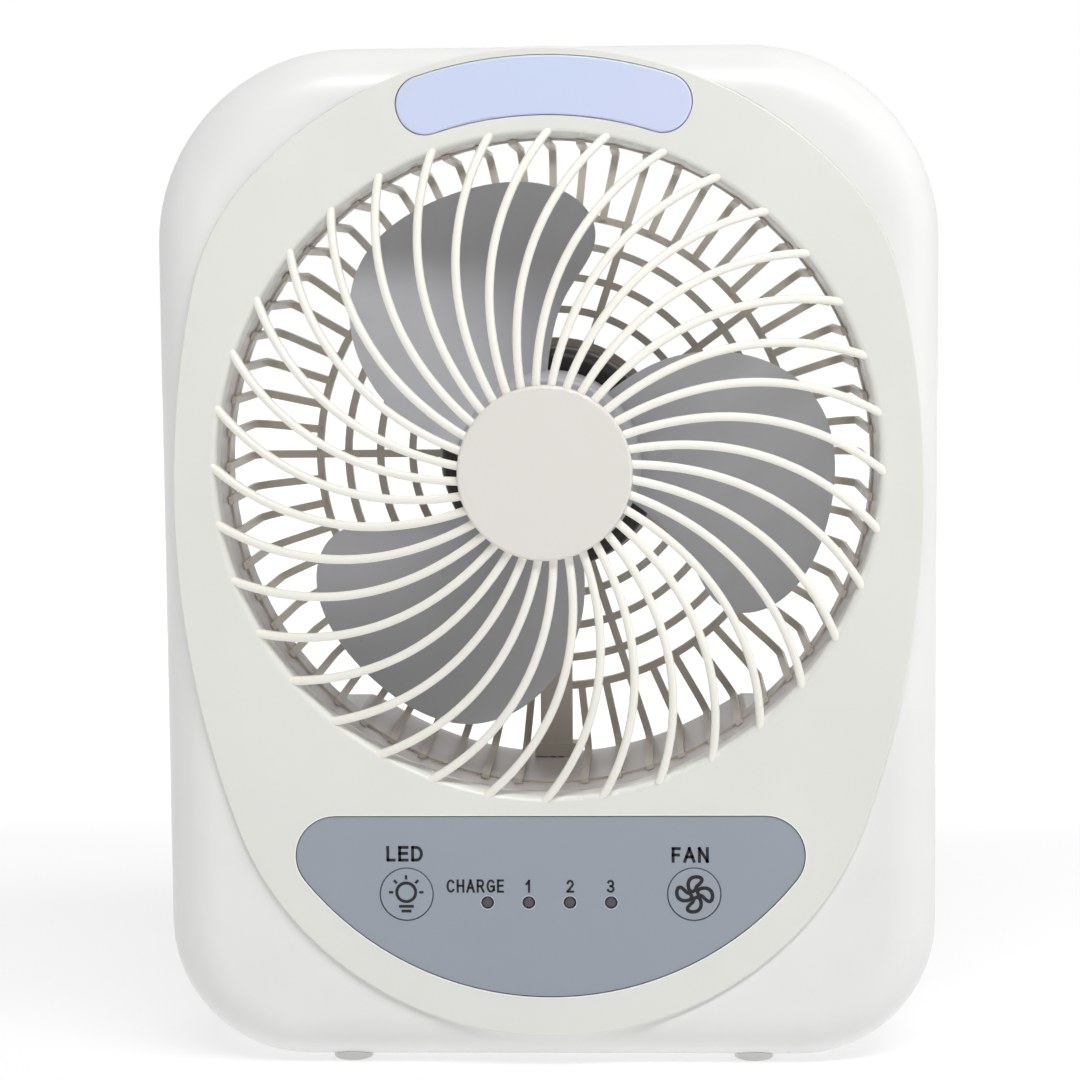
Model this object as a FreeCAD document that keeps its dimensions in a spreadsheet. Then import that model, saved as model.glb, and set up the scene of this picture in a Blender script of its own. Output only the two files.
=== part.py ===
import FreeCAD, Part
import math
import os
import re

import Sketcher
from FreeCAD import Placement, Rotation, Vector

# Rechargeable 150 mm box fan with a lamp, in millimetres.
# +X is to the right seen from the front, +Y to the back and +Z up.
# The origin is on the ground, under the middle of the bounding box.
# "Depth" below is a distance behind the flat face of the front grille plate.

doc = FreeCAD.newDocument("box_fan")
sheet = doc.addObject("Spreadsheet::Sheet", "Sizes")

DRIVING_SIZES = {
    # whole fan
    "axis_height": 156.7,
    "face_y": -27.0,
    "body_width": 201.0,
    "body_bottom": 1.0,
    "body_top": 264.2,
    "top_corner": 50.0,
    "bottom_corner": 36.0,
    "front_round": 14.0,
    "rear_round": 8.0,
    "wall": 2.2,
    "gap": 0.2,
    "seam_gap": 0.1,
    "shell_front": 1.2,
    "cavity_front": 5.2,
    "seam": 20.0,
    "upper_back": 33.0,
    "base_back": 69.0,
    "base_top": 89.7,
    "base_top_corner": 8.0,
    # grille plate: an egg made of tangent arcs, from its top point down
    "egg_top": 106.6,
    "egg_arc_top": 103.3,
    "egg_arc_shoulder": 60.4,
    "egg_arc_side": 251.9,
    "egg_arc_hip": 78.4,
    "egg_turn_top": 46.8,
    "egg_turn_shoulder": 31.2,
    "egg_turn_side": 31.9,
    "egg_turn_hip": 24.2,
    "plate_thick": 2.6,
    "plate_edge_round": 0.5,
    "skirt_depth": 13.0,
    "skirt_wall": 2.0,
    "recess_floor": 2.9,
    # air tube
    "tube_radius": 84.6,
    "tube_wall": 2.2,
    "mouth_round": 1.9,
    "collar_radius": 87.0,
    "collar_end": 8.0,
    "collar_seat": 87.3,
    "collar_seat_end": 8.4,
    "seat_ring_end": 10.6,
    # domed grille
    "rib_count": 36.0,
    "rib_width": 2.2,
    "rib_depth": 4.0,
    "rib_round": 1.0,
    "hub_radius": 22.0,
    "hub_face": 15.0,
    "hub_back": 10.5,
    "hub_round": 0.8,
    "dome_radius": 271.0,
    # lamp
    "lens_inner": 89.4,
    "lens_outer": 104.6,
    "lens_angle": 22.4,
    "lens_corner": 7.2,
    "lens_proud": 0.35,
    "lens_back": 2.4,
    "lens_round": 0.6,
    "tray_inner": 91.2,
    "tray_outer": 103.4,
    "tray_angle": 20.6,
    "tray_corner": 5.0,
    "tray_front": 2.7,
    "tray_floor": 7.8,
    "tray_back": 9.0,
    "lamp_radius": 97.3,
    "lamp_board_front": 9.1,
    "lamp_board_back": 10.7,
    "lamp_board_half": 5.0,
    "lamp_board_corner": 1.5,
    "lamp_board_hole": 1.0,
    "lamp_led_radius": 2.3,
    "lamp_led_front": 6.2,
    "lamp_led_round": 1.1,
    "lamp_led_pitch": 5.1,
    "lamp_post_radius": 2.3,
    "lamp_pilot_radius": 0.85,
    "lamp_screw_angle": 23.4,
    # control panel
    "panel_top": 67.2,
    "panel_bottom": 19.4,
    "panel_arc": 81.2,
    "panel_corner": 10.5,
    "film_front": 0.3,
    "film_back": 0.7,
    "film_gap": 0.12,
    "panel_floor": 0.75,
    "button_x": 37.2,
    "button_z": 46.6,
    "button_radius": 6.75,
    "button_hole": 7.0,
    "button_front": 0.15,
    "button_travel": 0.5,
    "button_round": 0.25,
    "stem_radius": 2.0,
    "switch_half": 3.0,
    "switch_front": 9.2,
    "plunger_radius": 1.7,
    "flange_radius": 7.9,
    "flange_hole": 8.3,
    "stem_end": 7.3,
    "dot_z": 44.4,
    "dot_first_x": -16.2,
    "dot_pitch": 10.65,
    "dot_radius": 1.5,
    "dot_front": 0.45,
    "dot_round": 0.6,
    "dot_back": 6.4,
    "dot_foot_radius": 1.9,
    "dot_foot_thick": 1.0,
    "dot_leg_half": 0.25,
    "dot_leg_x": 1.27,
    "board_front": 13.5,
    "board_back": 15.1,
    "board_width": 120.0,
    "board_low": 30.2,
    "board_high": 64.2,
    "board_screw_x": 54.0,
    "board_screw_low": 34.2,
    "board_screw_high": 60.2,
    "board_post_radius": 3.0,
    "board_pilot_radius": 1.15,
    "board_screw_hole": 1.3,
    "board_screw_head": 2.2,
    "board_screw_shank": 1.05,
    "plug_half": 3.5,
    "plug_low": 56.2,
    "plug_high": 62.2,
    "plug_end": 19.1,
    "plug_x_battery": 30.0,
    "plug_x_lamp": 45.0,
    "plug_x_socket": 20.0,
    # rear guard
    "guard_front": 66.0,
    "guard_radius": 84.4,
    "guard_bar": 1.2,
    "guard_rib_width": 2.0,
    "guard_tip": 16.0,
    "guard_shoulder": 6.0,
    "guard_plate": 32.0,
    "guard_flange_front": 20.1,
    "guard_flange_back": 21.3,
    "guard_flange_width": 3.4,
    "guard_ring_half": 1.0,
    "guard_ring_one": 39.8,
    "guard_ring_two": 48.8,
    "guard_ring_three": 57.7,
    "guard_ring_four": 65.6,
    "motor_sink": 3.1,
    "motor_sink_deep": 1.8,
    "guard_step": 6.0,
    "channel_half": 4.4,
    "channel_deep": 6.0,
    "channel_wall": 1.2,
    # rotor and motor
    "blade_tip": 75.0,
    "rotor_hub": 24.0,
    "rotor_front": 15.5,
    "rotor_back": 38.6,
    "rotor_round": 3.0,
    "rotor_wall": 1.8,
    "rotor_boss": 5.2,
    "rotor_web_half": 0.7,
    "nut_radius": 4.04,
    "nut_tall": 3.1,
    "shaft_radius": 2.0,
    "shaft_front": 11.5,
    "shaft_back": 64.0,
    "cover_radius": 29.8,
    "cover_front": 40.0,
    "cover_wall": 1.8,
    "cover_round": 3.0,
    "cover_eye": 7.0,
    "can_radius": 19.0,
    "can_front": 42.6,
    "can_back": 63.4,
    "can_wall": 1.2,
    "can_round": 1.5,
    "bush_radius": 4.4,
    "bush_bore": 2.05,
    "bush_holder": 5.6,
    "shaft_fit": 2.02,
    "shaft_round": 0.4,
    "magnet_inner": 14.9,
    "magnet_split": 7.0,
    "magnet_start": 2.4,
    "magnet_end": 13.0,
    "core_radius": 14.2,
    "core_start": 2.8,
    "core_end": 10.4,
    "slot_circle": 9.6,
    "slot_radius": 3.4,
    "slot_mouth": 1.4,
    "coil_circle": 9.5,
    "coil_radius": 3.1,
    "coil_round": 1.2,
    "coil_start": 2.0,
    "coil_end": 11.2,
    "commutator_radius": 4.0,
    "commutator_start": 11.8,
    "commutator_end": 16.2,
    "brush_start": 12.9,
    "brush_end": 15.6,
    "brush_half": 1.2,
    "brush_reach": 10.0,
    "motor_screw_circle": 13.0,
    # battery
    "battery_width": 101.0,
    "battery_side": 47.0,
    "battery_bottom": 5.4,
    "battery_front": 17.7,
    "battery_round": 1.2,
    "rest_half": 48.0,
    "rest_front": 26.0,
    "rest_rear": 56.0,
    "rest_thick": 1.6,
    "strap_front": 34.0,
    "strap_end": 48.0,
    "strap_middle": 41.0,
    "strap_thick": 1.2,
    "strap_floor": 8.1,
    "strap_screw_x": 59.5,
    "strap_reach": 64.0,
    "strap_post": 3.4,
    "strap_pilot": 1.3,
    "strap_hole": 1.6,
    "strap_screw_head": 2.6,
    "strap_screw_shank": 1.2,
    "terminal_x": 40.0,
    "terminal_half": 2.4,
    "terminal_front": 6.0,
    "terminal_back": 6.8,
    "terminal_tall": 6.0,
    # charging socket
    "socket_x": 70.0,
    "socket_z": 48.0,
    "socket_radius": 4.0,
    "socket_hole": 4.1,
    "socket_collar": 6.0,
    "socket_mouth": 2.85,
    "socket_pin": 1.0,
    "socket_length": 13.0,
    # feet
    "foot_x": 53.0,
    "foot_radius": 5.1,
    "foot_round": 0.4,
    "foot_front": 14.0,
    "foot_rear": 56.0,
    "foot_gap": 0.05,
    "stud_radius": 2.0,
    "stud_hole": 2.1,
    "stud_room": 6.0,
    # wires and fasteners
    "wire_radius": 0.75,
    "wire_end": 0.1,
    "screw_x_top": 76.0,
    "screw_z_top": 235.7,
    "screw_x_low": 90.0,
    "screw_z_low": 74.2,
    "screw_x_base": 80.0,
    "screw_z_base": 21.2,
    "front_boss": 3.6,
    "front_pilot": 1.5,
    "front_pilot_end": 8.0,
    "rear_boss": 5.0,
    "wire_hole_half": 3.0,
    "wire_hole_front": 60.5,
    "wire_hole_back": 65.0,
    "screw_head": 2.8,
    "screw_shank": 1.4,
    "screw_round": 0.5,
    "screw_hole": 1.7,
    "screw_well": 3.4,
}

for row, (alias, plain_number) in enumerate(DRIVING_SIZES.items(), start=1):
    sheet.set("A%d" % row, alias)
    sheet.set("B%d" % row, str(plain_number))
    sheet.setAlias("B%d" % row, alias)
doc.recompute()

WORD = re.compile(r"[a-z][a-z_]*")
ALONG_DEPTH = Rotation(Vector(1, 0, 0), -90)
TINY = 1e-4


def size(alias):
    """The value of one cell."""
    return float(sheet.get(alias))


def cells(words):
    """Turn "body_width / 2" into an expression that reads the sheet."""
    return WORD.sub(lambda word: "Sizes." + word.group(0), words)


def number(words):
    """The value of the same words now."""
    plain = WORD.sub(lambda word: "(%.6f)" % size(word.group(0)), words)
    return FreeCAD.Units.Quantity(plain).Value


def bind(thing, properties):
    """Bind properties of a document object to words about cells."""
    for name, words in properties.items():
        thing.setExpression(name, cells(words))


# ---------------------------------------------------------------- building blocks

def rod(name, radius, start, end, x="0", z="axis_height"):
    """A round bar along the depth, between two depths."""
    bar = doc.addObject("Part::Cylinder", name)
    bar.Placement = Placement(Vector(), ALONG_DEPTH)
    bind(bar, {
        "Radius": radius,
        "Height": "(%s) - (%s)" % (end, start),
        "Placement.Base.x": x,
        "Placement.Base.y": "face_y + (%s)" % start,
        "Placement.Base.z": z,
    })
    return bar


def post(name, radius, bottom, top, x, depth):
    """A round bar standing upright."""
    bar = doc.addObject("Part::Cylinder", name)
    bind(bar, {
        "Radius": radius,
        "Height": "(%s) - (%s)" % (top, bottom),
        "Placement.Base.x": x,
        "Placement.Base.y": "face_y + (%s)" % depth,
        "Placement.Base.z": bottom,
    })
    return bar


def block(name, left, right, start, end, bottom, top):
    """A box between two X values, two depths and two heights."""
    box = doc.addObject("Part::Box", name)
    bind(box, {
        "Length": "(%s) - (%s)" % (right, left),
        "Width": "(%s) - (%s)" % (end, start),
        "Height": "(%s) - (%s)" % (top, bottom),
        "Placement.Base.x": left,
        "Placement.Base.y": "face_y + (%s)" % start,
        "Placement.Base.z": bottom,
    })
    return box


def fuse(name, pieces):
    joined = doc.addObject("Part::MultiFuse", name)
    joined.Shapes = pieces
    return joined


def cut(name, base, tools):
    """Take tools away from base; every tool has to reach it."""
    doc.recompute()
    reach = [tool for tool in tools if base.Shape.distToShape(tool.Shape)[0] > TINY]
    if reach:
        raise ValueError("%s: %s cuts nothing" % (name, reach[0].Name))
    result = doc.addObject("Part::Cut", name)
    result.Base = base
    result.Tool = tools[0] if len(tools) == 1 else fuse(name + "_tools", tools)
    return result


def group(name, pieces):
    """Separate solids that share one node."""
    together = doc.addObject("Part::Compound", name)
    together.Links = pieces
    return together


def made_shape(name, shape):
    """A piece whose form no primitive or sketch gives."""
    piece = doc.addObject("Part::Feature", name)
    piece.Shape = shape
    piece.Placement = Placement()
    return piece


def round_edges(name, base, radius, chosen):
    """Round the edges of base that the chosen test picks."""
    doc.recompute()
    picked = [i for i, edge in enumerate(base.Shape.Edges, start=1) if chosen(edge)]
    if not picked:
        raise ValueError("%s: no edge to round" % name)
    rounded = doc.addObject("Part::Fillet", name)
    rounded.Base = base
    rounded.Edges = [(i, number(radius), number(radius)) for i in picked]
    return rounded


def lies_at_depth(depth):
    """Test for edges that lie wholly at one depth."""
    place = number("face_y + (%s)" % depth)

    def test(edge):
        box = edge.BoundBox
        return abs(box.YMin - place) < TINY * 10 and abs(box.YMax - place) < TINY * 10
    return test


def round_edge_at(depth, radius):
    """Test for the circles of one radius about the fan axis at one depth."""
    at_depth = lies_at_depth(depth)
    wanted = number(radius)

    def test(edge):
        is_round = hasattr(edge.Curve, "Radius")
        return at_depth(edge) and is_round and abs(edge.Curve.Radius - wanted) < TINY * 10
    return test


def upright_sketch(body, name, depth):
    """A sketch on the body's XZ plane, moved to one depth."""
    sketch = body.newObject("Sketcher::SketchObject", name)
    plane = [item for item in body.Origin.OriginFeatures if item.Role == "XZ_Plane"][0]
    sketch.AttachmentSupport = [(plane, "")]
    sketch.MapMode = "FlatFace"
    bind(sketch, {"AttachmentOffset.Base.z": "0 - face_y - (%s)" % depth})
    return sketch


def padded(name, draw, start, end, round_at=None, rounding=None):
    """A body padded from an outline between two depths, with one end's edge rounded."""
    body = doc.addObject("PartDesign::Body", name)
    sketch = upright_sketch(body, name + "_outline", start)
    draw(sketch)
    pad = body.newObject("PartDesign::Pad", name + "_pad")
    pad.Profile = sketch
    pad.Reversed = True
    bind(pad, {"Length": "(%s) - (%s)" % (end, start)})
    doc.recompute()
    if round_at is not None:
        at_end = lies_at_depth(round_at)
        edges = ["Edge%d" % i for i, e in enumerate(pad.Shape.Edges, start=1) if at_end(e)]
        fillet = body.newObject("PartDesign::Fillet", name + "_round")
        fillet.Base = (pad, edges)
        bind(fillet, {"Radius": rounding})
        doc.recompute()
    return body


def flat(x, z):
    return Vector(x, z, 0)


def arc(centre_x, centre_z, radius, start_angle, end_angle):
    """A sketch arc, counterclockwise from one angle in degrees to another."""
    circle = Part.Circle(flat(centre_x, centre_z), Vector(0, 0, 1), radius)
    return Part.ArcOfCircle(circle, math.radians(start_angle), math.radians(end_angle))


# ---------------------------------------------------------------- outlines

def rounded_rectangle(width, bottom, top, top_corner, bottom_corner):
    """An upright outline, symmetric about X = 0, bound to the sheet."""
    def draw(sketch):
        half = number(width) / 2
        low = number(bottom)
        high = number(top)
        upper = number(top_corner)
        lower = number(bottom_corner)
        sketch.addGeometry([
            Part.LineSegment(flat(upper - half, high), flat(half - upper, high)),
            arc(half - upper, high - upper, upper, 0, 90),
            Part.LineSegment(flat(half, high - upper), flat(half, low + lower)),
            arc(half - lower, low + lower, lower, 270, 360),
            Part.LineSegment(flat(half - lower, low), flat(lower - half, low)),
            arc(lower - half, low + lower, lower, 180, 270),
            Part.LineSegment(flat(-half, low + lower), flat(-half, high - upper)),
            arc(upper - half, high - upper, upper, 90, 180),
        ], False)
        ends = [(0, 2, 1, 2), (1, 1, 2, 1), (2, 2, 3, 2), (3, 1, 4, 1),
                (4, 2, 5, 2), (5, 1, 6, 1), (6, 2, 7, 2), (7, 1, 0, 1)]
        for joint in ends:
            sketch.addConstraint(Sketcher.Constraint("Tangent", *joint))
        for line in (0, 4):
            sketch.addConstraint(Sketcher.Constraint("Horizontal", line))
        for line in (2, 6):
            sketch.addConstraint(Sketcher.Constraint("Vertical", line))
        driven = [
            (Sketcher.Constraint("DistanceX", -1, 1, 2, 1, half), "(%s) / 2" % width),
            (Sketcher.Constraint("DistanceX", 6, 1, -1, 1, half), "(%s) / 2" % width),
            (Sketcher.Constraint("DistanceY", -1, 1, 4, 1, low), bottom),
            (Sketcher.Constraint("DistanceY", -1, 1, 0, 1, high), top),
            (Sketcher.Constraint("Radius", 1, upper), top_corner),
            (Sketcher.Constraint("Radius", 7, upper), top_corner),
            (Sketcher.Constraint("Radius", 3, lower), bottom_corner),
            (Sketcher.Constraint("Radius", 5, lower), bottom_corner),
        ]
        for constraint, words in driven:
            index = sketch.addConstraint(constraint)
            sketch.setExpression("Constraints[%d]" % index, cells(words))
    return draw


def egg(inset):
    """The grille plate's egg, or a parallel one inside it.

    Each side is a chain of five tangent arcs; the last is centred on X = 0,
    which closes the outline.
    """
    def draw(sketch):
        shrink = number(inset)
        radii = [size(key) for key in
                 ("egg_arc_top", "egg_arc_shoulder", "egg_arc_side", "egg_arc_hip")]
        turns = [size(key) for key in
                 ("egg_turn_top", "egg_turn_shoulder", "egg_turn_side", "egg_turn_hip")]
        x = 0.0
        z = size("axis_height") + size("egg_top")
        heading = 0.0
        arcs = []
        for radius, turn in zip(radii, turns):
            angle = math.radians(heading)
            centre = (x - radius * math.sin(angle), z - radius * math.cos(angle))
            arcs.append((centre, radius, heading, heading + turn))
            heading += turn
            angle = math.radians(heading)
            x = centre[0] + radius * math.sin(angle)
            z = centre[1] + radius * math.cos(angle)
        last = x / math.sin(math.radians(heading))
        centre = (0.0, z - last * math.cos(math.radians(heading)))
        arcs.append((centre, last, heading, 180.0))
        for (cx, cz), radius, begin, finish in arcs:
            sketch.addGeometry(arc(cx, cz, radius - shrink, 90 - finish, 90 - begin), False)
            sketch.addGeometry(arc(-cx, cz, radius - shrink, 90 + begin, 90 + finish), False)
    return draw


def sector(inner, outer, half_angle, corner):
    """A band of a ring above the fan axis, with rounded corners."""
    def draw(sketch):
        low = number(inner)
        high = number(outer)
        reach = number(half_angle)
        bend = number(corner)
        middle = size("axis_height")
        outer_gap = math.degrees(math.asin(bend / (high - bend)))
        inner_gap = math.degrees(math.asin(bend / (low + bend)))
        for side in (1, -1):
            end = math.radians(90 - side * reach)
            far = math.sqrt((high - bend) ** 2 - bend ** 2)
            near = math.sqrt((low + bend) ** 2 - bend ** 2)
            sketch.addGeometry(Part.LineSegment(
                flat(far * math.cos(end), middle + far * math.sin(end)),
                flat(near * math.cos(end), middle + near * math.sin(end))), False)
            top_at = 90 - side * (reach - outer_gap)
            low_at = 90 - side * (reach - inner_gap)
            end_at = 90 - side * reach
            for at, away, begin, finish in (
                    (top_at, high - bend, end_at - 90 * side, top_at),
                    (low_at, low + bend, low_at + 180, end_at - 90 * side)):
                cx = away * math.cos(math.radians(at))
                cz = middle + away * math.sin(math.radians(at))
                first, second = (begin, finish) if side == 1 else (finish, begin)
                second += 360 * math.ceil((first - second) / 360)
                sketch.addGeometry(arc(cx, cz, bend, first, second), False)
        sketch.addGeometry(arc(0, middle, high, 90 - reach + outer_gap, 90 + reach - outer_gap), False)
        sketch.addGeometry(arc(0, middle, low, 90 - reach + inner_gap, 90 + reach - inner_gap), False)
    return draw


def panel(inset):
    """Flat-topped control panel with a round bottom."""
    def draw(sketch):
        shrink = number(inset)
        big = size("panel_arc") - shrink
        bend = size("panel_corner") - shrink
        high = size("panel_top") - shrink
        middle = size("panel_bottom") + size("panel_arc")
        drop = high - bend - middle
        side = math.sqrt((big - bend) ** 2 - drop ** 2)
        slope = math.degrees(math.atan2(drop, side))
        sketch.addGeometry([
            Part.LineSegment(flat(-side, high), flat(side, high)),
            arc(side, middle + drop, bend, slope, 90),
            arc(-side, middle + drop, bend, 90, 180 - slope),
            arc(0, middle, big, 180 - slope, 360 + slope),
        ], False)
    return draw


def about_axis(shape, degrees):
    """A copy turned about the fan axis, counterclockwise seen from the front."""
    turned = shape.copy()
    turned.rotate(Vector(0, 0, size("axis_height")), Vector(0, -1, 0), degrees)
    return turned


def on_circle(radius, degrees):
    """X and Z of a point about the fan axis, as words."""
    angle = math.radians(degrees)
    x = "(%s) * %.6f" % (radius, math.cos(angle))
    z = "axis_height + (%s) * %.6f" % (radius, math.sin(angle))
    return x, z


SCREW_PLACES = [
    ("0 - screw_x_top", "screw_z_top", "upper_back"),
    ("screw_x_top", "screw_z_top", "upper_back"),
    ("0 - screw_x_low", "screw_z_low", "base_back"),
    ("screw_x_low", "screw_z_low", "base_back"),
    ("0 - screw_x_base", "screw_z_base", "base_back"),
    ("screw_x_base", "screw_z_base", "base_back"),
]
BOARD_SCREWS = [
    ("0 - board_screw_x", "board_screw_high"),
    ("board_screw_x", "board_screw_high"),
    ("0 - board_screw_x", "board_screw_low"),
    ("board_screw_x", "board_screw_low"),
]
BUTTON_SIDES = {"light_button": "0 - button_x", "fan_button": "button_x"}
DOT_PLACES = ["dot_first_x + dot_pitch * %d" % i for i in range(4)]
LAMP_ANGLES = [90 + size("lamp_led_pitch") * (i - 3.5) for i in range(8)]
LAMP_SCREW_ANGLES = [90 - size("lamp_screw_angle"), 90 + size("lamp_screw_angle")]
MOTOR_SCREW_ANGLES = [90, 210, 330]
FOOT_SIDES = ["0 - foot_x", "foot_x"]
STRAP_SIDES = ["0 - strap_screw_x", "strap_screw_x"]
GUARD_RINGS = ["guard_ring_one", "guard_ring_two", "guard_ring_three", "guard_ring_four"]


# ---------------------------------------------------------------- housing shells

def front_housing():
    outer = padded("front_outer",
                   rounded_rectangle("body_width", "body_bottom", "body_top",
                                     "top_corner", "bottom_corner"),
                   "shell_front", "seam", "shell_front", "front_round")
    inner = padded("front_inner",
                   rounded_rectangle("body_width - 2 * wall", "body_bottom + wall",
                                     "body_top - wall", "top_corner - wall",
                                     "bottom_corner - wall"),
                   "cavity_front", "seam + 1", "cavity_front", "front_round - 3.5")
    shell = cut("front_shell", outer, [inner])
    solids = [
        shell,
        rod("front_tube", "tube_radius + tube_wall", "cavity_front - 0.2", "seam - 0.1"),
        rod("collar_ring", "collar_seat + tube_wall", "cavity_front - 0.2", "seat_ring_end"),
    ]
    for i, (x, z, _) in enumerate(SCREW_PLACES):
        solids.append(rod("front_boss_%d" % i, "front_boss", "cavity_front - 0.2", "seam - 0.1", x, z))
    for i, (x, z) in enumerate(BOARD_SCREWS):
        solids.append(rod("board_post_%d" % i, "board_post_radius", "cavity_front - 0.2",
                          "board_front - 0.1", x, z))
    for i, angle in enumerate(LAMP_SCREW_ANGLES):
        x, z = on_circle("lamp_radius", angle)
        solids.append(rod("lamp_post_%d" % i, "lamp_post_radius", "cavity_front - 0.2",
                          "lamp_board_front - 0.05", x, z))
    body = fuse("front_solid", solids)
    tools = [
        rod("front_bore", "tube_radius", "0", "seam + 1"),
        rod("collar_bore", "collar_seat", "0", "collar_seat_end"),
        padded("plate_recess", egg("0 - seam_gap"), "0", "recess_floor"),
        padded("lamp_window", sector("tray_inner - gap", "tray_outer + gap",
                                     "tray_angle + gap", "tray_corner"),
               "0", "lamp_board_front + gap"),
    ]
    for i, (x, z, _) in enumerate(SCREW_PLACES):
        tools.append(rod("front_pilot_%d" % i, "front_pilot", "front_pilot_end", "seam", x, z))
    for i, (x, z) in enumerate(BOARD_SCREWS):
        tools.append(rod("board_pilot_%d" % i, "board_pilot_radius", "cavity_front + 1.8",
                         "board_front", x, z))
    for i, angle in enumerate(LAMP_SCREW_ANGLES):
        x, z = on_circle("lamp_radius", angle)
        tools.append(rod("lamp_pilot_%d" % i, "lamp_pilot_radius", "cavity_front + 0.8",
                         "lamp_board_front", x, z))
    for i, x in enumerate(BUTTON_SIDES.values()):
        tools.append(rod("flange_hole_%d" % i, "flange_hole", "0", "cavity_front + 1", x, "button_z"))
    for i, x in enumerate(DOT_PLACES):
        tools.append(rod("dot_hole_%d" % i, "dot_radius + 0.7", "0", "cavity_front + 1", x, "dot_z"))
    for i, side in enumerate(FOOT_SIDES):
        tools.append(post("front_stud_hole_%d" % i, "stud_hole", "0", "body_bottom + stud_room",
                          side, "foot_front"))
    return cut("front_housing", body, tools)


def rear_housing():
    upper_outer = padded("upper_outer",
                         rounded_rectangle("body_width", "body_bottom", "body_top",
                                           "top_corner", "bottom_corner"),
                         "seam + 0.1", "upper_back", "upper_back", "rear_round")
    base_outer = padded("base_outer",
                        rounded_rectangle("body_width", "body_bottom", "base_top",
                                          "base_top_corner", "bottom_corner"),
                        "seam + 0.1", "base_back", "base_back", "rear_round")
    upper_inner = padded("upper_inner",
                         rounded_rectangle("body_width - 2 * wall", "body_bottom + wall",
                                           "body_top - wall", "top_corner - wall",
                                           "bottom_corner - wall"),
                         "seam - 1", "upper_back - wall", "upper_back - wall",
                         "rear_round - wall")
    base_inner = padded("base_inner",
                        rounded_rectangle("body_width - 2 * wall", "body_bottom + wall",
                                          "base_top - wall", "base_top_corner - wall",
                                          "bottom_corner - wall"),
                        "seam - 1", "base_back - wall", "base_back - wall",
                        "base_top_corner - wall - 0.4")
    cradle = rod("cradle", "tube_radius + tube_wall", "upper_back - wall", "base_back + 1")
    base_cavity = cut("base_cavity", base_inner, [cradle])
    outer = fuse("rear_outer", [upper_outer, base_outer])
    shell = cut("rear_shell", outer, [upper_inner, base_cavity])
    solids = [shell, rod("rear_tube", "tube_radius + tube_wall", "guard_flange_back + gap",
                         "upper_back - 0.5")]
    for i, (x, z, back) in enumerate(SCREW_PLACES):
        solids.append(rod("rear_boss_%d" % i, "rear_boss", "seam + 0.1", back + " - 1", x, z))
    for i, x in enumerate(STRAP_SIDES):
        solids.append(post("strap_post_%d" % i, "strap_post", "body_bottom + 1", "strap_floor - 0.1", x,
                           "strap_middle"))
    for i, depth in enumerate(("rest_front", "rest_rear")):
        solids.append(block("battery_rest_%d" % i, "0 - rest_half", "rest_half", depth,
                            depth + " + rest_thick", "body_bottom + 1", "battery_bottom - 0.1"))
    body = fuse("rear_solid", solids)
    tools = [
        rod("rear_bore", "tube_radius", "seam", "base_back + 1"),
        rod("socket_opening", "socket_hole", "base_back - wall - 1", "base_back + 1", "socket_x",
            "socket_z"),
        block("wire_hole", "0 - wire_hole_half", "wire_hole_half", "wire_hole_front",
              "wire_hole_back", "axis_height - tube_radius - 5",
              "axis_height - tube_radius + 2"),
    ]
    for i, (x, z, back) in enumerate(SCREW_PLACES):
        tools.append(rod("through_hole_%d" % i, "screw_hole", "seam", "upper_back", x, z))
        tools.append(rod("well_%d" % i, "screw_well", "upper_back - 3", back + " + 1", x, z))
    for i, x in enumerate(STRAP_SIDES):
        tools.append(post("strap_pilot_%d" % i, "strap_pilot", "body_bottom + 2.4", "strap_floor + 1", x,
                          "strap_middle"))
    for i, side in enumerate(FOOT_SIDES):
        tools.append(post("rear_stud_hole_%d" % i, "stud_hole", "0", "body_bottom + stud_room",
                          side, "foot_rear"))
    return cut("rear_housing", body, tools)


# ---------------------------------------------------------------- front grille

def rib_angle(radius):
    """How far round the axis a rib has swept when it reaches a radius, in degrees."""
    reach = radius - size("hub_radius")
    return 5.2 - 0.2856 * reach - 0.001905 * reach ** 2


def dome_depth(radius):
    """Depth of the dome's front surface at a radius; negative is in front of the face."""
    dome = size("dome_radius")
    return dome - size("hub_face") + 1.0 - math.sqrt(dome ** 2 - radius ** 2)


def grille_rib():
    """One curved rib: a bar with a rounded front, swept along the dome."""
    half = size("rib_width") / 2
    deep = size("rib_depth")
    corner = size("rib_round")
    radii = (size("hub_radius") - 2, 34, 47, 60, 73, size("collar_radius") - 0.6)
    points = []
    for radius in radii:
        angle = math.radians(rib_angle(radius))
        points.append(Vector(radius * math.cos(angle), size("face_y") + dome_depth(radius),
                             size("axis_height") + radius * math.sin(angle)))
    curve = Part.BSplineCurve()
    curve.interpolate(points)
    start = points[0]
    along = curve.tangent(curve.FirstParameter)[0]
    along = Vector(along.x, 0, along.z).normalize()
    side = along.cross(Vector(0, 1, 0))

    def corner_at(sideways, inward):
        return start + side * sideways + Vector(0, inward, 0)

    front_left = corner_at(-half + corner, 0)
    front_right = corner_at(half - corner, 0)
    bow = corner * (1 - math.sqrt(0.5))
    outline = Part.Wire([
        Part.makeLine(front_left, front_right),
        Part.Arc(front_right, corner_at(half - bow, bow), corner_at(half, corner)).toShape(),
        Part.makeLine(corner_at(half, corner), corner_at(half - 0.25, deep)),
        Part.makeLine(corner_at(half - 0.25, deep), corner_at(0.25 - half, deep)),
        Part.makeLine(corner_at(0.25 - half, deep), corner_at(-half, corner)),
        Part.Arc(corner_at(-half, corner), corner_at(bow - half, bow), front_left).toShape(),
    ])
    sweep = Part.BRepOffsetAPI.MakePipeShell(Part.Wire([curve.toShape()]))
    sweep.setBiNormalMode(Vector(0, 1, 0))
    sweep.add(outline)
    sweep.build()
    sweep.makeSolid()
    return sweep.shape()


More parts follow.
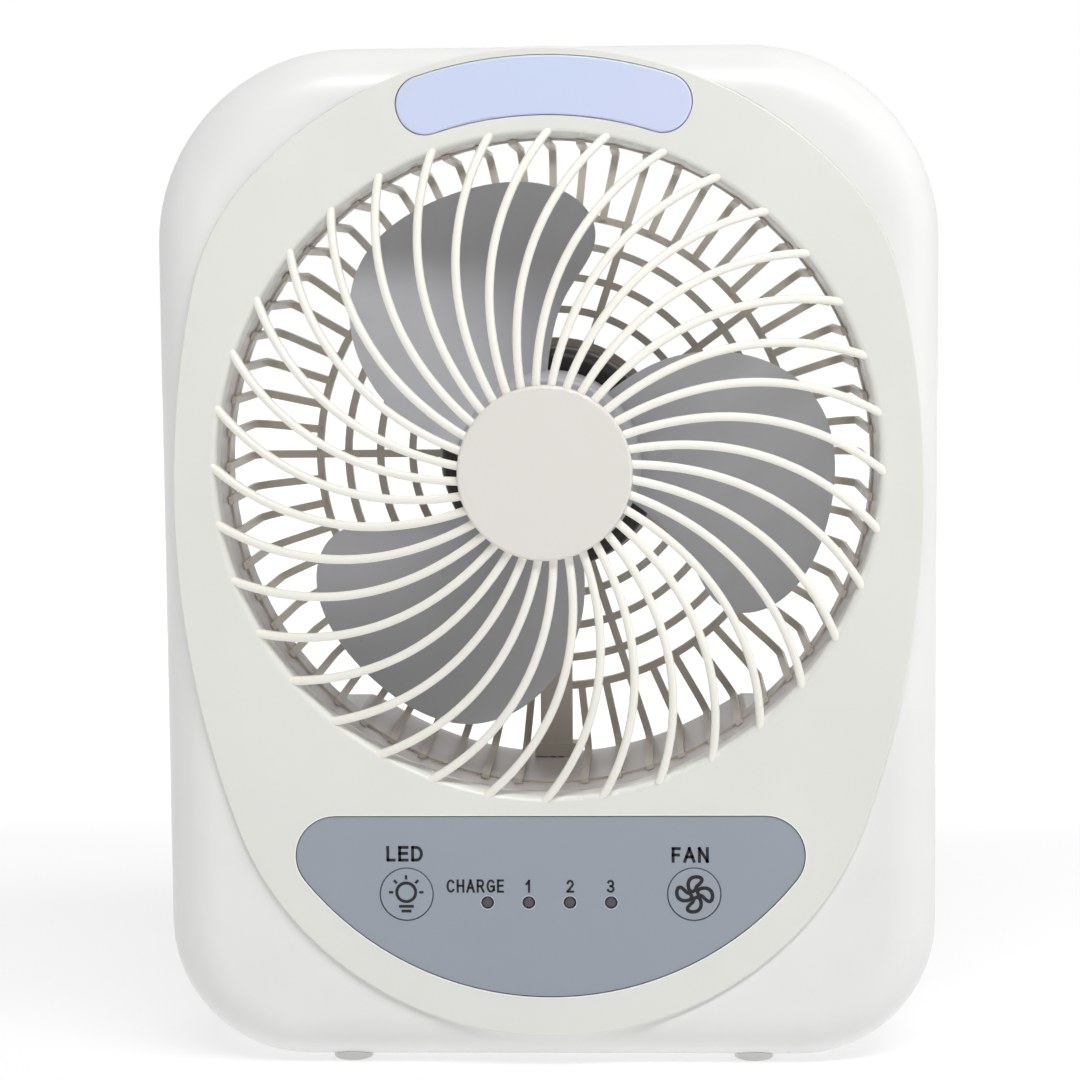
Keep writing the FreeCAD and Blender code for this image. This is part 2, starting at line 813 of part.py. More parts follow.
def front_fascia():
    """The egg-shaped plate with its skirt and the collar round the air tube's mouth."""
    plate = padded("fascia_plate", egg("0"), "0", "plate_thick", "0", "plate_edge_round")
    skirt_block = padded("skirt_block", egg("0"), "plate_thick - 1", "skirt_depth")
    seat = padded("skirt_seat",
                  rounded_rectangle("body_width + 2 * seam_gap", "body_bottom - seam_gap",
                                    "body_top + seam_gap", "top_corner + seam_gap",
                                    "bottom_corner + seam_gap"),
                  "shell_front - seam_gap", "front_round + 6", "shell_front - seam_gap",
                  "front_round + seam_gap")
    hollow = padded("skirt_hollow", egg("skirt_wall"), "plate_thick", "skirt_depth + 1")
    skirt = cut("fascia_skirt", skirt_block, [seat, hollow])
    collar = rod("fascia_collar", "collar_radius", "plate_thick - 1", "collar_end")
    solid = fuse("fascia_solid", [plate, skirt, collar])
    tools = [
        rod("fascia_bore", "tube_radius", "0 - 1", "collar_end + 1"),
        padded("lens_window", sector("lens_inner", "lens_outer", "lens_angle", "lens_corner"),
               "0 - 1", "plate_thick + 1"),
        padded("panel_recess", panel("0"), "0 - 1", "panel_floor"),
    ]
    for i, x in enumerate(BUTTON_SIDES.values()):
        tools.append(rod("cap_hole_%d" % i, "button_hole", "0", "plate_thick + 1", x, "button_z"))
    for i, x in enumerate(DOT_PLACES):
        tools.append(rod("dot_bore_%d" % i, "dot_radius + 0.15", "0", "plate_thick + 1", x, "dot_z"))
    pierced = cut("fascia_pierced", solid, tools)
    return round_edges("front_fascia", pierced, "mouth_round", round_edge_at("0", "tube_radius"))


def front_grille(fascia):
    """The hub disc and the ribs, which end on the fascia's collar."""
    disc = rod("grille_disc", "hub_radius", "0 - hub_face", "0 - hub_back")
    hub = round_edges("grille_hub", disc, "hub_round", lies_at_depth("0 - hub_face"))
    trimmed = grille_rib().cut(fascia.Shape)
    rib = max(trimmed.Solids, key=lambda solid: solid.Volume)
    count = int(size("rib_count"))
    ribs = made_shape("grille_ribs",
                      Part.makeCompound([about_axis(rib, 360 / count * i) for i in range(count)]))
    return fuse("front_grille", [hub, ribs])


# ---------------------------------------------------------------- rear guard

def guard_bar():
    """One bar of the cage wall: round the shoulder, then forward along the tube."""
    radius = size("guard_radius")
    thin = size("guard_bar")
    front = size("guard_front")
    back = size("base_back")
    bend = size("guard_shoulder")
    inner_bend = bend - thin
    tip = size("guard_tip")

    def at(reach, depth):
        return Vector(reach, size("face_y") + depth, size("axis_height"))

    middle = radius - bend
    lean = math.sqrt(0.5)
    outline = Part.Wire([
        Part.Arc(at(middle, back), at(middle + bend * lean, back - bend + bend * lean),
                 at(radius, back - bend)).toShape(),
        Part.makeLine(at(radius, back - bend), at(radius, tip)),
        Part.makeLine(at(radius, tip), at(radius - thin, tip)),
        Part.makeLine(at(radius - thin, tip), at(radius - thin, front - inner_bend)),
        Part.Arc(at(radius - thin, front - inner_bend),
                 at(middle + inner_bend * lean, front - inner_bend + inner_bend * lean),
                 at(middle, front)).toShape(),
        Part.makeLine(at(middle, front), at(middle, back)),
    ])
    width = size("guard_rib_width")
    bar = Part.Face(outline).extrude(Vector(0, 0, width))
    bar.translate(Vector(0, 0, -width / 2))
    return bar


def guard_angles():
    """Where the bars are; one is left out at the bottom for the wires."""
    step = int(size("guard_step"))
    return [angle for angle in range(0, 360, step) if angle != 270]


def guard_wall():
    """The cage's wall: bars inside the air tube, joined by a rim between the housings."""
    rim = rod("guard_flange", "guard_radius + guard_flange_width", "guard_flange_front",
              "guard_flange_back")
    hole = rod("guard_flange_hole", "guard_radius - 0.4", "guard_flange_front - 1",
               "guard_flange_back + 1")
    bar = guard_bar()
    bars = made_shape("guard_bars",
                      Part.makeCompound([about_axis(bar, angle) for angle in guard_angles()]))
    return fuse("guard_wall", [cut("guard_rim", rim, [hole]), bars])


def guard_back():
    """The cage's flat back: rings, spokes and the plate that carries the motor."""
    pieces = []
    for i, middle in enumerate(GUARD_RINGS):
        outside = rod("guard_ring_%d" % i, middle + " + guard_ring_half", "guard_front + 0.5",
                      "base_back - 0.3")
        inside = rod("guard_ring_hole_%d" % i, middle + " - guard_ring_half", "guard_front",
                     "base_back")
        pieces.append(cut("guard_hoop_%d" % i, outside, [inside]))
    plate = rod("guard_disc", "guard_plate", "guard_front", "base_back")
    tools = []
    for i, angle in enumerate(MOTOR_SCREW_ANGLES):
        x, z = on_circle("motor_screw_circle", angle)
        tools.append(rod("guard_screw_hole_%d" % i, "screw_hole", "guard_front - 1", "base_back + 1",
                         x, z))
        tools.append(rod("guard_screw_sink_%d" % i, "motor_sink", "base_back - motor_sink_deep",
                         "base_back + 1", x, z))
    pieces.append(cut("guard_centre", plate, tools))
    width = size("guard_rib_width")
    deep = size("base_back") - size("guard_front")
    reach = size("guard_radius") - size("guard_shoulder")
    spokes = []
    for angle in guard_angles():
        start = number(GUARD_RINGS[-1]) if angle % 36 else size("guard_plate") - 1
        corner = Vector(start, size("face_y") + size("guard_front"), size("axis_height") - width / 2)
        spoke = Part.makeBox(reach - start, deep, width, corner)
        spokes.append(about_axis(spoke, angle))
    pieces.append(made_shape("guard_spokes", Part.makeCompound(spokes)))
    return fuse("guard_back", pieces)


def wire_channel():
    floor = "axis_height - tube_radius"
    trunk = block("channel_trunk", "0 - channel_half", "channel_half",
                  "guard_front - channel_deep - 0.1", "guard_front - 0.1", floor + " + 0.5",
                  "axis_height - cover_radius - 0.3")
    toe = block("channel_toe", "0 - channel_half - 1.6", "channel_half + 1.6",
                "guard_front - channel_deep - 1.4", "guard_front - 0.1", floor + " + 0.5",
                floor + " + 4")
    groove = block("channel_groove", "channel_wall - channel_half", "channel_half - channel_wall",
                   "guard_front - channel_deep + channel_wall", "guard_front", floor,
                   "axis_height - cover_radius")
    return cut("wire_channel", fuse("channel_solid", [trunk, toe]), [groove])


# ---------------------------------------------------------------- lamp

def light_lens():
    return padded("light_lens", sector("lens_inner + 0.15", "lens_outer - 0.15",
                                       "lens_angle - 0.1", "lens_corner"),
                  "0 - lens_proud", "lens_back", "0 - lens_proud", "lens_round")


def light_reflector():
    tray = padded("tray_solid", sector("tray_inner", "tray_outer", "tray_angle", "tray_corner"),
                  "tray_front", "tray_back")
    hollow = padded("tray_hollow", sector("tray_inner + 1.2", "tray_outer - 1.2",
                                          "tray_angle - 0.7", "tray_corner - 1.2"),
                    "tray_front - 1", "tray_floor")
    tools = [hollow]
    for i, angle in enumerate(LAMP_ANGLES):
        x, z = on_circle("lamp_radius", angle)
        tools.append(rod("tray_hole_%d" % i, "lamp_led_radius + 0.3", "tray_floor - 1",
                         "tray_back + 1", x, z))
    return cut("light_reflector", tray, tools)


def light_board():
    board = padded("lamp_board_solid",
                   sector("lamp_radius - lamp_board_half", "lamp_radius + lamp_board_half",
                          "lamp_screw_angle + 1.6", "lamp_board_corner"),
                   "lamp_board_front", "lamp_board_back")
    tools = []
    for i, angle in enumerate(LAMP_SCREW_ANGLES):
        x, z = on_circle("lamp_radius", angle)
        tools.append(rod("lamp_screw_hole_%d" % i, "lamp_board_hole", "lamp_board_front - 1",
                         "lamp_board_back + 1", x, z))
    return cut("light_board", board, tools)


def light_leds():
    leds = []
    for i, angle in enumerate(LAMP_ANGLES):
        x, z = on_circle("lamp_radius", angle)
        lamp = rod("lamp_led_body_%d" % i, "lamp_led_radius", "lamp_led_front",
                   "lamp_board_front - 0.05", x, z)
        leds.append(round_edges("lamp_led_%d" % i, lamp, "lamp_led_round",
                                lies_at_depth("lamp_led_front")))
    return group("light_leds", leds)


# ---------------------------------------------------------------- controls

def control_panel():
    film = padded("film_solid", panel("film_gap"), "film_front", "film_back")
    tools = []
    for i, x in enumerate(BUTTON_SIDES.values()):
        tools.append(rod("film_button_hole_%d" % i, "button_hole", "0", "film_back + 1", x, "button_z"))
    for i, x in enumerate(DOT_PLACES):
        tools.append(rod("film_dot_hole_%d" % i, "dot_radius + 0.15", "0", "film_back + 1", x, "dot_z"))
    return cut("control_panel", film, tools)


def button(name, x):
    cap = rod(name + "_cap", "button_radius", "button_front", "plate_thick + 0.4", x, "button_z")
    soft = round_edges(name + "_soft", cap, "button_round", lies_at_depth("button_front"))
    flange = rod(name + "_flange", "flange_radius", "plate_thick + 0.35", "plate_thick + 1.4", x,
                 "button_z")
    stem = rod(name + "_stem", "stem_radius", "plate_thick + 1", "stem_end", x, "button_z")
    return fuse(name, [soft, flange, stem])


def control_board():
    board = block("board_solid", "0 - board_width / 2", "board_width / 2", "board_front",
                  "board_back", "board_low", "board_high")
    tools = [rod("board_hole_%d" % i, "board_screw_hole", "board_front - 1", "board_back + 1", x, z)
             for i, (x, z) in enumerate(BOARD_SCREWS)]
    return cut("control_board", board, tools)


def tact_switches():
    switches = []
    for i, x in enumerate(BUTTON_SIDES.values()):
        case = block("switch_case_%d" % i, x + " - switch_half", x + " + switch_half",
                     "switch_front", "board_front - 0.05", "button_z - switch_half",
                     "button_z + switch_half")
        plunger = rod("switch_plunger_%d" % i, "plunger_radius",
                      "stem_end + button_travel + 0.1", "switch_front + 0.2", x, "button_z")
        switches.append(fuse("switch_%d" % i, [case, plunger]))
    return group("tact_switches", switches)


def indicator_leds():
    leds = []
    for i, x in enumerate(DOT_PLACES):
        bulb = rod("dot_bulb_%d" % i, "dot_radius", "dot_front", "dot_back + 0.1", x, "dot_z")
        tip = round_edges("dot_tip_%d" % i, bulb, "dot_round", lies_at_depth("dot_front"))
        foot = rod("dot_base_%d" % i, "dot_foot_radius", "dot_back", "dot_back + dot_foot_thick", x,
                   "dot_z")
        legs = [block("dot_leg_%d_%d" % (i, j), x + side + " - dot_leg_half",
                      x + side + " + dot_leg_half", "dot_back + dot_foot_thick - 0.1",
                      "board_front - 0.05", "dot_z - dot_leg_half", "dot_z + dot_leg_half")
                for j, side in enumerate((" - dot_leg_x", " + dot_leg_x"))]
        leds.append(fuse("dot_%d" % i, [tip, foot] + legs))
    return group("indicator_leds", leds)


CONNECTOR_X = {
    "motor": "0",
    "battery_plus": "plug_x_battery",
    "battery_minus": "0 - plug_x_battery",
    "lamp": "plug_x_lamp",
    "socket": "plug_x_socket",
}


def board_connectors():
    housings = []
    for name, x in CONNECTOR_X.items():
        housings.append(block("plug_" + name, x + " - plug_half", x + " + plug_half",
                              "board_back + 0.05", "plug_end", "plug_low", "plug_high"))
    return group("board_connectors", housings)


# ---------------------------------------------------------------- motor and rotor

def motor_cover():
    cup = rod("cover_cup", "cover_radius", "cover_front", "guard_front - 0.1")
    soft = round_edges("cover_soft", cup, "cover_round", lies_at_depth("cover_front"))
    tools = [
        rod("cover_room", "cover_radius - cover_wall", "cover_front + cover_wall", "guard_front + 1"),
        rod("cover_opening", "cover_eye", "cover_front - 1", "cover_front + 3"),
        block("cover_notch", "0 - channel_half - gap", "channel_half + gap",
              "guard_front - channel_deep - 0.3", "guard_front + 1",
              "axis_height - cover_radius - 1", "axis_height - cover_radius + 3"),
    ]
    return cut("motor_cover", soft, tools)


def motor_can():
    can = rod("can_body", "can_radius", "can_front", "can_back")
    nose = rod("can_nose", "bush_holder", "can_front - 3", "can_front + can_wall")
    soft = round_edges("can_soft", can, "can_round", lies_at_depth("can_front"))
    tools = [
        rod("can_room", "can_radius - can_wall", "can_front + can_wall", "can_back + 1"),
        rod("can_eye", "bush_radius + 0.05", "can_front - 4", "can_front + 2"),
    ]
    return cut("motor_can", fuse("can_solid", [soft, nose]), tools)


def motor_end_cap():
    disc = rod("end_disc", "can_radius - 0.1", "can_back + 0.1", "guard_front - 0.2")
    boss = rod("end_boss", "bush_holder", "can_back - 4.2", "can_back + 1")
    tools = [rod("end_eye", "bush_radius + 0.05", "can_back - 5", "can_back + 1.2")]
    for i, angle in enumerate(MOTOR_SCREW_ANGLES):
        x, z = on_circle("motor_screw_circle", angle)
        tools.append(rod("end_pilot_%d" % i, "front_pilot", "can_back", "guard_front", x, z))
    return cut("motor_end_cap", fuse("end_solid", [disc, boss]), tools)


def bush(name, start, end):
    body = rod(name + "_body", "bush_radius", start, end)
    return cut(name, body, [rod(name + "_bore", "bush_bore", start + " - 1", end + " + 1")])


def motor_magnets():
    tiles = []
    for i, side in enumerate(("left", "right")):
        ring = rod("magnet_ring_%d" % i, "can_radius - can_wall - 0.1", "can_front + magnet_start",
                   "can_front + magnet_end")
        hole = rod("magnet_hole_%d" % i, "magnet_inner", "can_front", "can_back")
        low, high = "0 - can_radius", "magnet_split"
        if side == "left":
            low, high = "0 - magnet_split", "can_radius"
        away = block("magnet_away_%d" % i, low, high, "can_front", "can_back",
                     "axis_height - can_radius", "axis_height + can_radius")
        tiles.append(cut("magnet_tile_%d" % i, ring, [hole, away]))
    return group("motor_magnets", tiles)


def motor_brushes():
    near = "commutator_radius + 0.35"
    sides = [("0 - brush_reach", "0 - (%s)" % near), (near, "brush_reach")]
    blocks = [block("brush_%d" % i, left, right, "can_front + brush_start", "can_front + brush_end",
                    "axis_height - brush_half", "axis_height + brush_half")
              for i, (left, right) in enumerate(sides)]
    return group("motor_brushes", blocks)


def motor_shaft():
    body = rod("shaft_body", "shaft_radius", "shaft_front", "shaft_back")
    return round_edges("motor_shaft", body, "shaft_round", lies_at_depth("shaft_front"))


SLOT_ANGLES = [72 * i + 54 for i in range(5)]


def tilted_bar(name, start, end, half, front, back, degrees):
    """A flat bar that runs outwards from the axis at one angle, between two radii."""
    bar = doc.addObject("Part::Box", name)
    bar.Placement = Placement(Vector(), Rotation(Vector(0, -1, 0), degrees))
    along = (math.cos(math.radians(degrees)), math.sin(math.radians(degrees)))
    bind(bar, {
        "Length": "(%s) - (%s)" % (end, start),
        "Width": "(%s) - (%s)" % (back, front),
        "Height": "2 * (%s)" % half,
        "Placement.Base.x": "(%s) * %.6f + (%s) * %.6f" % (start, along[0], half, along[1]),
        "Placement.Base.y": "face_y + (%s)" % front,
        "Placement.Base.z": "axis_height + (%s) * %.6f - (%s) * %.6f"
                            % (start, along[1], half, along[0]),
    })
    return bar


def armature_core():
    """Five-pole stack of laminations."""
    solid = rod("core_solid", "core_radius", "can_front + core_start", "can_front + core_end")
    tools = [rod("core_bore", "shaft_fit", "can_front", "can_back")]
    for i, angle in enumerate(SLOT_ANGLES):
        x, z = on_circle("slot_circle", angle)
        tools.append(rod("core_slot_%d" % i, "slot_radius", "can_front", "can_back", x, z))
        tools.append(tilted_bar("core_mouth_%d" % i, "slot_circle", "core_radius + 2",
                                "slot_mouth / 2", "can_front", "can_back", angle))
    return cut("armature_core", solid, tools)


def armature_windings():
    """One copper coil bundle through each slot."""
    coils = []
    for i, angle in enumerate(SLOT_ANGLES):
        x, z = on_circle("coil_circle", angle)
        coil = rod("coil_body_%d" % i, "coil_radius", "can_front + coil_start",
                   "can_front + coil_end", x, z)
        coils.append(round_edges("coil_%d" % i, coil, "coil_round",
                                 lambda edge: edge.BoundBox.YLength < TINY))
    return group("armature_windings", coils)


def commutator():
    body = rod("commutator_body", "commutator_radius", "can_front + commutator_start",
               "can_front + commutator_end")
    return cut("commutator", body, [rod("commutator_bore", "shaft_fit", "can_front", "can_back")])


def blade_depth(radius, angle):
    """Depth of the blade's front surface; the trailing edge is nearer the front."""
    reach = (radius - size("rotor_hub")) / (size("blade_tip") - size("rotor_hub"))
    slope = 0.22 + 0.18 * reach
    middle = 11.0 - 26.0 * reach
    return 27.6 - slope * (angle - middle) + 1.5 * reach


def rotor_blade():
    """One blade: a twisted sheet, trimmed to the blade's swept outline."""
    rows = []
    for radius in (18, 30, 42, 54, 66, 78):
        row = []
        for angle in (-52, -31, -10, 11, 32, 53, 66):
            turn = math.radians(angle)
            row.append(Vector(radius * math.cos(turn),
                              size("face_y") + blade_depth(radius, angle),
                              size("axis_height") + radius * math.sin(turn)))
        rows.append(row)
    surface = Part.BSplineSurface()
    surface.interpolate(rows)
    sheet_solid = surface.toShape().extrude(Vector(0, 1.7, 0))
    # swept outline, as radius and angle: trailing edge, tip, leading edge
    edge = [(20, 52), (32, 46.5), (43, 40.5), (55, 31.8), (66, 21.5), (72.4, 11.5), (74.6, 2),
            (75, -9), (74.7, -20), (73, -29.5), (69.4, -36.2), (64, -40.5), (59, -41.6),
            (53, -40.2), (43, -34.8), (32, -30.4), (20, -27)]
    points = [Vector(r * math.cos(math.radians(a)), size("face_y"),
                     size("axis_height") + r * math.sin(math.radians(a))) for r, a in edge]
    curve = Part.BSplineCurve()
    curve.interpolate(points)
    outline = Part.Wire([curve.toShape(), Part.makeLine(points[-1], points[0])])
    trim = Part.Face(outline).extrude(Vector(0, 80, 0))
    blade = sheet_solid.common(trim)
    hub_room = Part.makeCylinder(size("rotor_hub") - 1, 100,
                                 Vector(0, size("face_y"), size("axis_height")), Vector(0, 1, 0))
    return blade.cut(hub_room)


def blade_rotor():
    cup = rod("rotor_cup", "rotor_hub", "rotor_front", "rotor_back")
    soft = round_edges("rotor_soft", cup, "rotor_round", lies_at_depth("rotor_front"))
    room = rod("rotor_room", "rotor_hub - rotor_wall", "rotor_front + 2", "rotor_back + 1")
    shell = cut("rotor_shell", soft, [room])
    boss = rod("rotor_core", "rotor_boss", "rotor_front + 1", "rotor_back + 0.4")
    webs = [tilted_bar("rotor_web_%d" % i, "0", "rotor_hub - 1", "rotor_web_half",
                       "rotor_front + 1",
                       "rotor_back - 4", 60 * i)
            for i in range(6)]
    blade = rotor_blade()
    blades = made_shape("rotor_blades",
                        Part.makeCompound([about_axis(blade, 120 * i) for i in range(3)]))
    solid = fuse("rotor_solid", [shell, boss] + webs + [blades])
    return cut("blade_rotor", solid, [rod("rotor_bore", "shaft_fit", "rotor_front - 1",
                                          "rotor_back + 3")])


def rotor_nut():
    prism = doc.addObject("Part::Prism", "nut_prism")
    prism.Polygon = 6
    prism.Placement = Placement(Vector(), ALONG_DEPTH)
    bind(prism, {
        "Circumradius": "nut_radius",
        "Height": "nut_tall",
        "Placement.Base.y": "face_y + rotor_front - nut_tall - 0.1",
        "Placement.Base.z": "axis_height",
    })
    return cut("rotor_nut", prism, [rod("nut_bore", "shaft_fit", "rotor_front - 5",
                                        "rotor_front + 1")])


# ---------------------------------------------------------------- power

def battery():
    case = block("battery_case", "0 - battery_width / 2", "battery_width / 2", "battery_front",
                 "battery_front + battery_side", "battery_bottom", "battery_bottom + battery_side")
    return round_edges("battery", case, "battery_round", lambda edge: True)


def battery_terminals():
    top = "battery_bottom + battery_side"
    tabs = [block("terminal_%d" % i, x + " - terminal_half", x + " + terminal_half",
                  "battery_front + terminal_front", "battery_front + terminal_back",
                  top + " + 0.05", top + " + terminal_tall")
            for i, x in enumerate(("0 - terminal_x", "terminal_x"))]
    return group("battery_terminals", tabs)


def battery_strap():
    """Steel strap over the battery, screwed to the floor on each side."""
    near = "(battery_width / 2 + 0.3)"
    far = "(battery_width / 2 + 0.3 + strap_thick)"
    top = "battery_bottom + battery_side + 0.3"
    pieces = [block("strap_top", "0 - " + far, far, "strap_front", "strap_end", top,
                    top + " + strap_thick")]
    for i, (leg, tab) in enumerate((
            (("0 - " + far, "0 - " + near), ("0 - strap_reach", "0 - " + near)),
            ((near, far), (near, "strap_reach")))):
        pieces.append(block("strap_leg_%d" % i, leg[0], leg[1], "strap_front", "strap_end",
                            "strap_floor", top + " + strap_thick"))
        pieces.append(block("strap_tab_%d" % i, tab[0], tab[1], "strap_front", "strap_end",
                            "strap_floor", "strap_floor + strap_thick"))
    tools = [post("strap_hole_%d" % i, "strap_hole", "strap_floor - 1", "strap_floor + 2", x, "strap_middle")
             for i, x in enumerate(STRAP_SIDES)]
    return cut("battery_strap", fuse("strap_solid", pieces), tools)


def charging_socket():
    place = ("socket_x", "socket_z")
    barrel = rod("socket_barrel", "socket_radius", "base_back - socket_length", "base_back - 0.2",
                 *place)
    ring = rod("socket_ring", "socket_collar", "base_back - wall - 1.5", "base_back - wall - 0.1",
               *place)
    mouth = rod("socket_bore", "socket_mouth", "base_back - 9.5", "base_back", *place)
    hollow = cut("socket_hollow", fuse("socket_solid", [barrel, ring]), [mouth])
    pin = rod("socket_contact", "socket_pin", "base_back - 10", "base_back - 1", *place)
    return fuse("charging_socket", [hollow, pin])


# ---------------------------------------------------------------- small parts

def screw_along_depth(name, x, z, head_start, head_radius, head_height, shank_radius, length):
    """A pan-head screw driven from behind; head_start is the depth of the seat."""
    head = rod(name + "_head", head_radius, head_start, "(%s) + %s" % (head_start, head_height), x, z)
    soft = round_edges(name + "_pan", head, "screw_round",
                       lies_at_depth("(%s) + %s" % (head_start, head_height)))
    recess = rod(name + "_recess", "(%s) * 0.45" % head_radius,
                 "(%s) + %s * 0.5" % (head_start, head_height),
                 "(%s) + %s + 1" % (head_start, head_height), x, z)
    shank = rod(name + "_shank", shank_radius, "(%s) - %s" % (head_start, length),
                "(%s) + 0.2" % head_start, x, z)
    return fuse(name, [cut(name + "_drive", soft, [recess]), shank])


def housing_screws():
    return group("housing_screws", [
        screw_along_depth("housing_screw_%d" % i, x, z, "upper_back - 2.95", "screw_head", "2",
                          "screw_shank", "18")
        for i, (x, z, _) in enumerate(SCREW_PLACES)])


def board_screws():
    return group("board_screws", [
        screw_along_depth("board_screw_%d" % i, x, z, "board_back + 0.05", "board_screw_head", "1.5",
                          "board_screw_shank", "7")
        for i, (x, z) in enumerate(BOARD_SCREWS)])


def light_screws():
    screws = []
    for i, angle in enumerate(LAMP_SCREW_ANGLES):
        x, z = on_circle("lamp_radius", angle)
        screws.append(screw_along_depth("light_screw_%d" % i, x, z, "lamp_board_back + 0.05", "1.7",
                                        "1.2", "0.75", "4"))
    return group("light_screws", screws)


def motor_screws():
    screws = []
    for i, angle in enumerate(MOTOR_SCREW_ANGLES):
        x, z = on_circle("motor_screw_circle", angle)
        screws.append(screw_along_depth("motor_screw_%d" % i, x, z, "base_back - motor_sink_deep + 0.05",
                                        "screw_head", "1.6", "screw_shank", "3.5"))
    return group("motor_screws", screws)


def strap_screws():
    screws = []
    seat = "strap_floor + strap_thick + 0.05"
    for i, x in enumerate(STRAP_SIDES):
        head = post("strap_screw_head_%d" % i, "strap_screw_head", seat, seat + " + 1.65", x, "strap_middle")
        shank = post("strap_screw_shank_%d" % i, "strap_screw_shank", "body_bottom + 3", seat + " + 0.2", x,
                     "strap_middle")
        screws.append(fuse("strap_screw_%d" % i, [head, shank]))
    return group("strap_screws", screws)


def feet():
    """Rubber pads; the front pair reaches up to the body's rounded front edge."""
    body = padded("foot_seat",
                  rounded_rectangle("body_width + 2 * foot_gap", "body_bottom - foot_gap",
                                    "body_top + foot_gap", "top_corner + foot_gap",
                                    "bottom_corner + foot_gap"),
                  "shell_front - foot_gap", "base_back", "shell_front - foot_gap",
                  "front_round + foot_gap")
    pads = []
    places = [(x, depth) for x in FOOT_SIDES for depth in ("foot_front", "foot_rear")]
    for i, (x, depth) in enumerate(places):
        pad = post("foot_pad_%d" % i, "foot_radius", "0", "body_bottom + 2", x, depth)
        soft = round_edges("foot_soft_%d" % i, pad, "foot_round",
                           lambda edge: abs(edge.BoundBox.ZMax) < TINY)
        stud = post("foot_stud_%d" % i, "stud_radius", "body_bottom - 0.2", "body_bottom + wall", x,
                    depth)
        seated = cut("foot_seated_%d" % i, soft, [body])
        pads.append(fuse("foot_%d" % i, [seated, stud]))
    return group("feet", pads)


# ---------------------------------------------------------------- internal wires

def bent_tube(points, radius, longest_reach):
    """A tube along straight runs joined by tangent arcs.

    Each arc starts at most longest_reach before its corner.
    """
    edges = []
    here = points[0]
    for before, corner, after in zip(points, points[1:], points[2:]):
        towards = corner - before
        away = after - corner
        reach = min(longest_reach, 0.45 * min(towards.Length, away.Length))
        bend = reach / math.tan(towards.getAngle(away) / 2)
        start = corner - towards.normalize() * reach
        end = corner + away.normalize() * reach
        inwards = (start + end) * 0.5 - corner
        middle = corner + inwards.normalize() * (math.hypot(bend, reach) - bend)
        edges.append(Part.makeLine(here, start))
        edges.append(Part.Arc(start, middle, end).toShape())
        here = end
    edges.append(Part.makeLine(here, points[-1]))
    path = Part.Wire(edges)
    first = (points[1] - points[0]).normalize()
    profile = Part.Wire([Part.makeCircle(radius, points[0], first)])
    tube = path.makePipeShell([profile], True, False)
    expected = math.pi * radius ** 2 * path.Length
    if abs(tube.Volume / expected - 1) > 0.02:
        raise ValueError("a wire's volume is %.1f, not %.1f" % (tube.Volume, expected))
    return tube


def wire_pair(name, left, right, longest_reach=4.0):
    """Two insulated wires; each route lists X, depth and Z of its corners."""
    tubes = []
    for route in (left, right):
        points = [Vector(x, size("face_y") + depth, z) for x, depth, z in route]
        tubes.append(bent_tube(points, size("wire_radius"), longest_reach))
    return made_shape(name, Part.makeCompound(tubes))


def plug_entry(x):
    """X, depth and Z where a wire meets the back of a plug on the control board."""
    middle = (size("plug_low") + size("plug_high")) / 2
    return (x, size("plug_end") + size("wire_end"), middle)


def motor_wires():
    """From the motor down the channel, through the cradle and forward to the board."""
    lane = size("guard_front") - size("channel_deep") / 2 - 0.1
    top = size("axis_height") - size("can_radius") - 0.6
    routes = []
    for x in (-1.1, 1.1):
        plug = plug_entry(x)
        routes.append([(x, lane, top), (x, lane, plug[2]), plug])
    return wire_pair("motor_wires", *routes)


def battery_wires():
    """From each battery tab up and forward to its plug."""
    tab = number("battery_front + (terminal_front + terminal_back) / 2")
    top = number("battery_bottom + battery_side + terminal_tall + wire_end")
    routes = []
    for side, tab_x in ((-1, -size("terminal_x")), (1, size("terminal_x"))):
        plug = plug_entry(30 * side)
        above = plug[2] + 6
        routes.append([(tab_x, tab, top), (tab_x, tab, above), (33 * side, tab, above),
                       (30 * side, tab, plug[2]), plug])
    return wire_pair("battery_wires", *routes)


def socket_wires():
    """From the charging socket forward, over the battery and to the board."""
    start = number("base_back - socket_length - wire_end")
    low = size("socket_z")
    routes = []
    for offset, lane, plug_x in ((1.2, 30, 21.5), (-1.2, 33, 18.5)):
        x = size("socket_x") + offset
        plug = plug_entry(plug_x)
        above = plug[2] + 4
        routes.append([(x, start, low), (x, lane, low), (x, lane, above), (plug_x, lane, above),
                       (plug_x, 25, plug[2]), plug])
    return wire_pair("socket_wires", *routes)


def lamp_wires():
    """From the lamp board round the outside of the air tube and down to the board."""
    axis = size("axis_height")
    board = size("lamp_board_back") + size("wire_end")
    behind = 17
    solder_angle = 69.4
    corner_angles = (54.4, 24.4, -5.6, -35.6)
    routes = []
    for radius, plug_x in ((93.4, 43.5), (95.9, 46.5)):
        x = radius * math.cos(math.radians(solder_angle))
        z = axis + radius * math.sin(math.radians(solder_angle))
        route = [(x, board, z), (x, behind, z)]
        reach = radius / math.cos(math.radians(15))
        for degrees in corner_angles:
            corner = math.radians(degrees)
            route.append((reach * math.cos(corner), behind, axis + reach * math.sin(corner)))
        plug = plug_entry(plug_x)
        routes.append(route + [(plug_x, 24, plug[2] + 8), (plug_x, 24, plug[2]), plug])
    return wire_pair("lamp_wires", *routes, longest_reach=25.0)


# ---------------------------------------------------------------- build and write

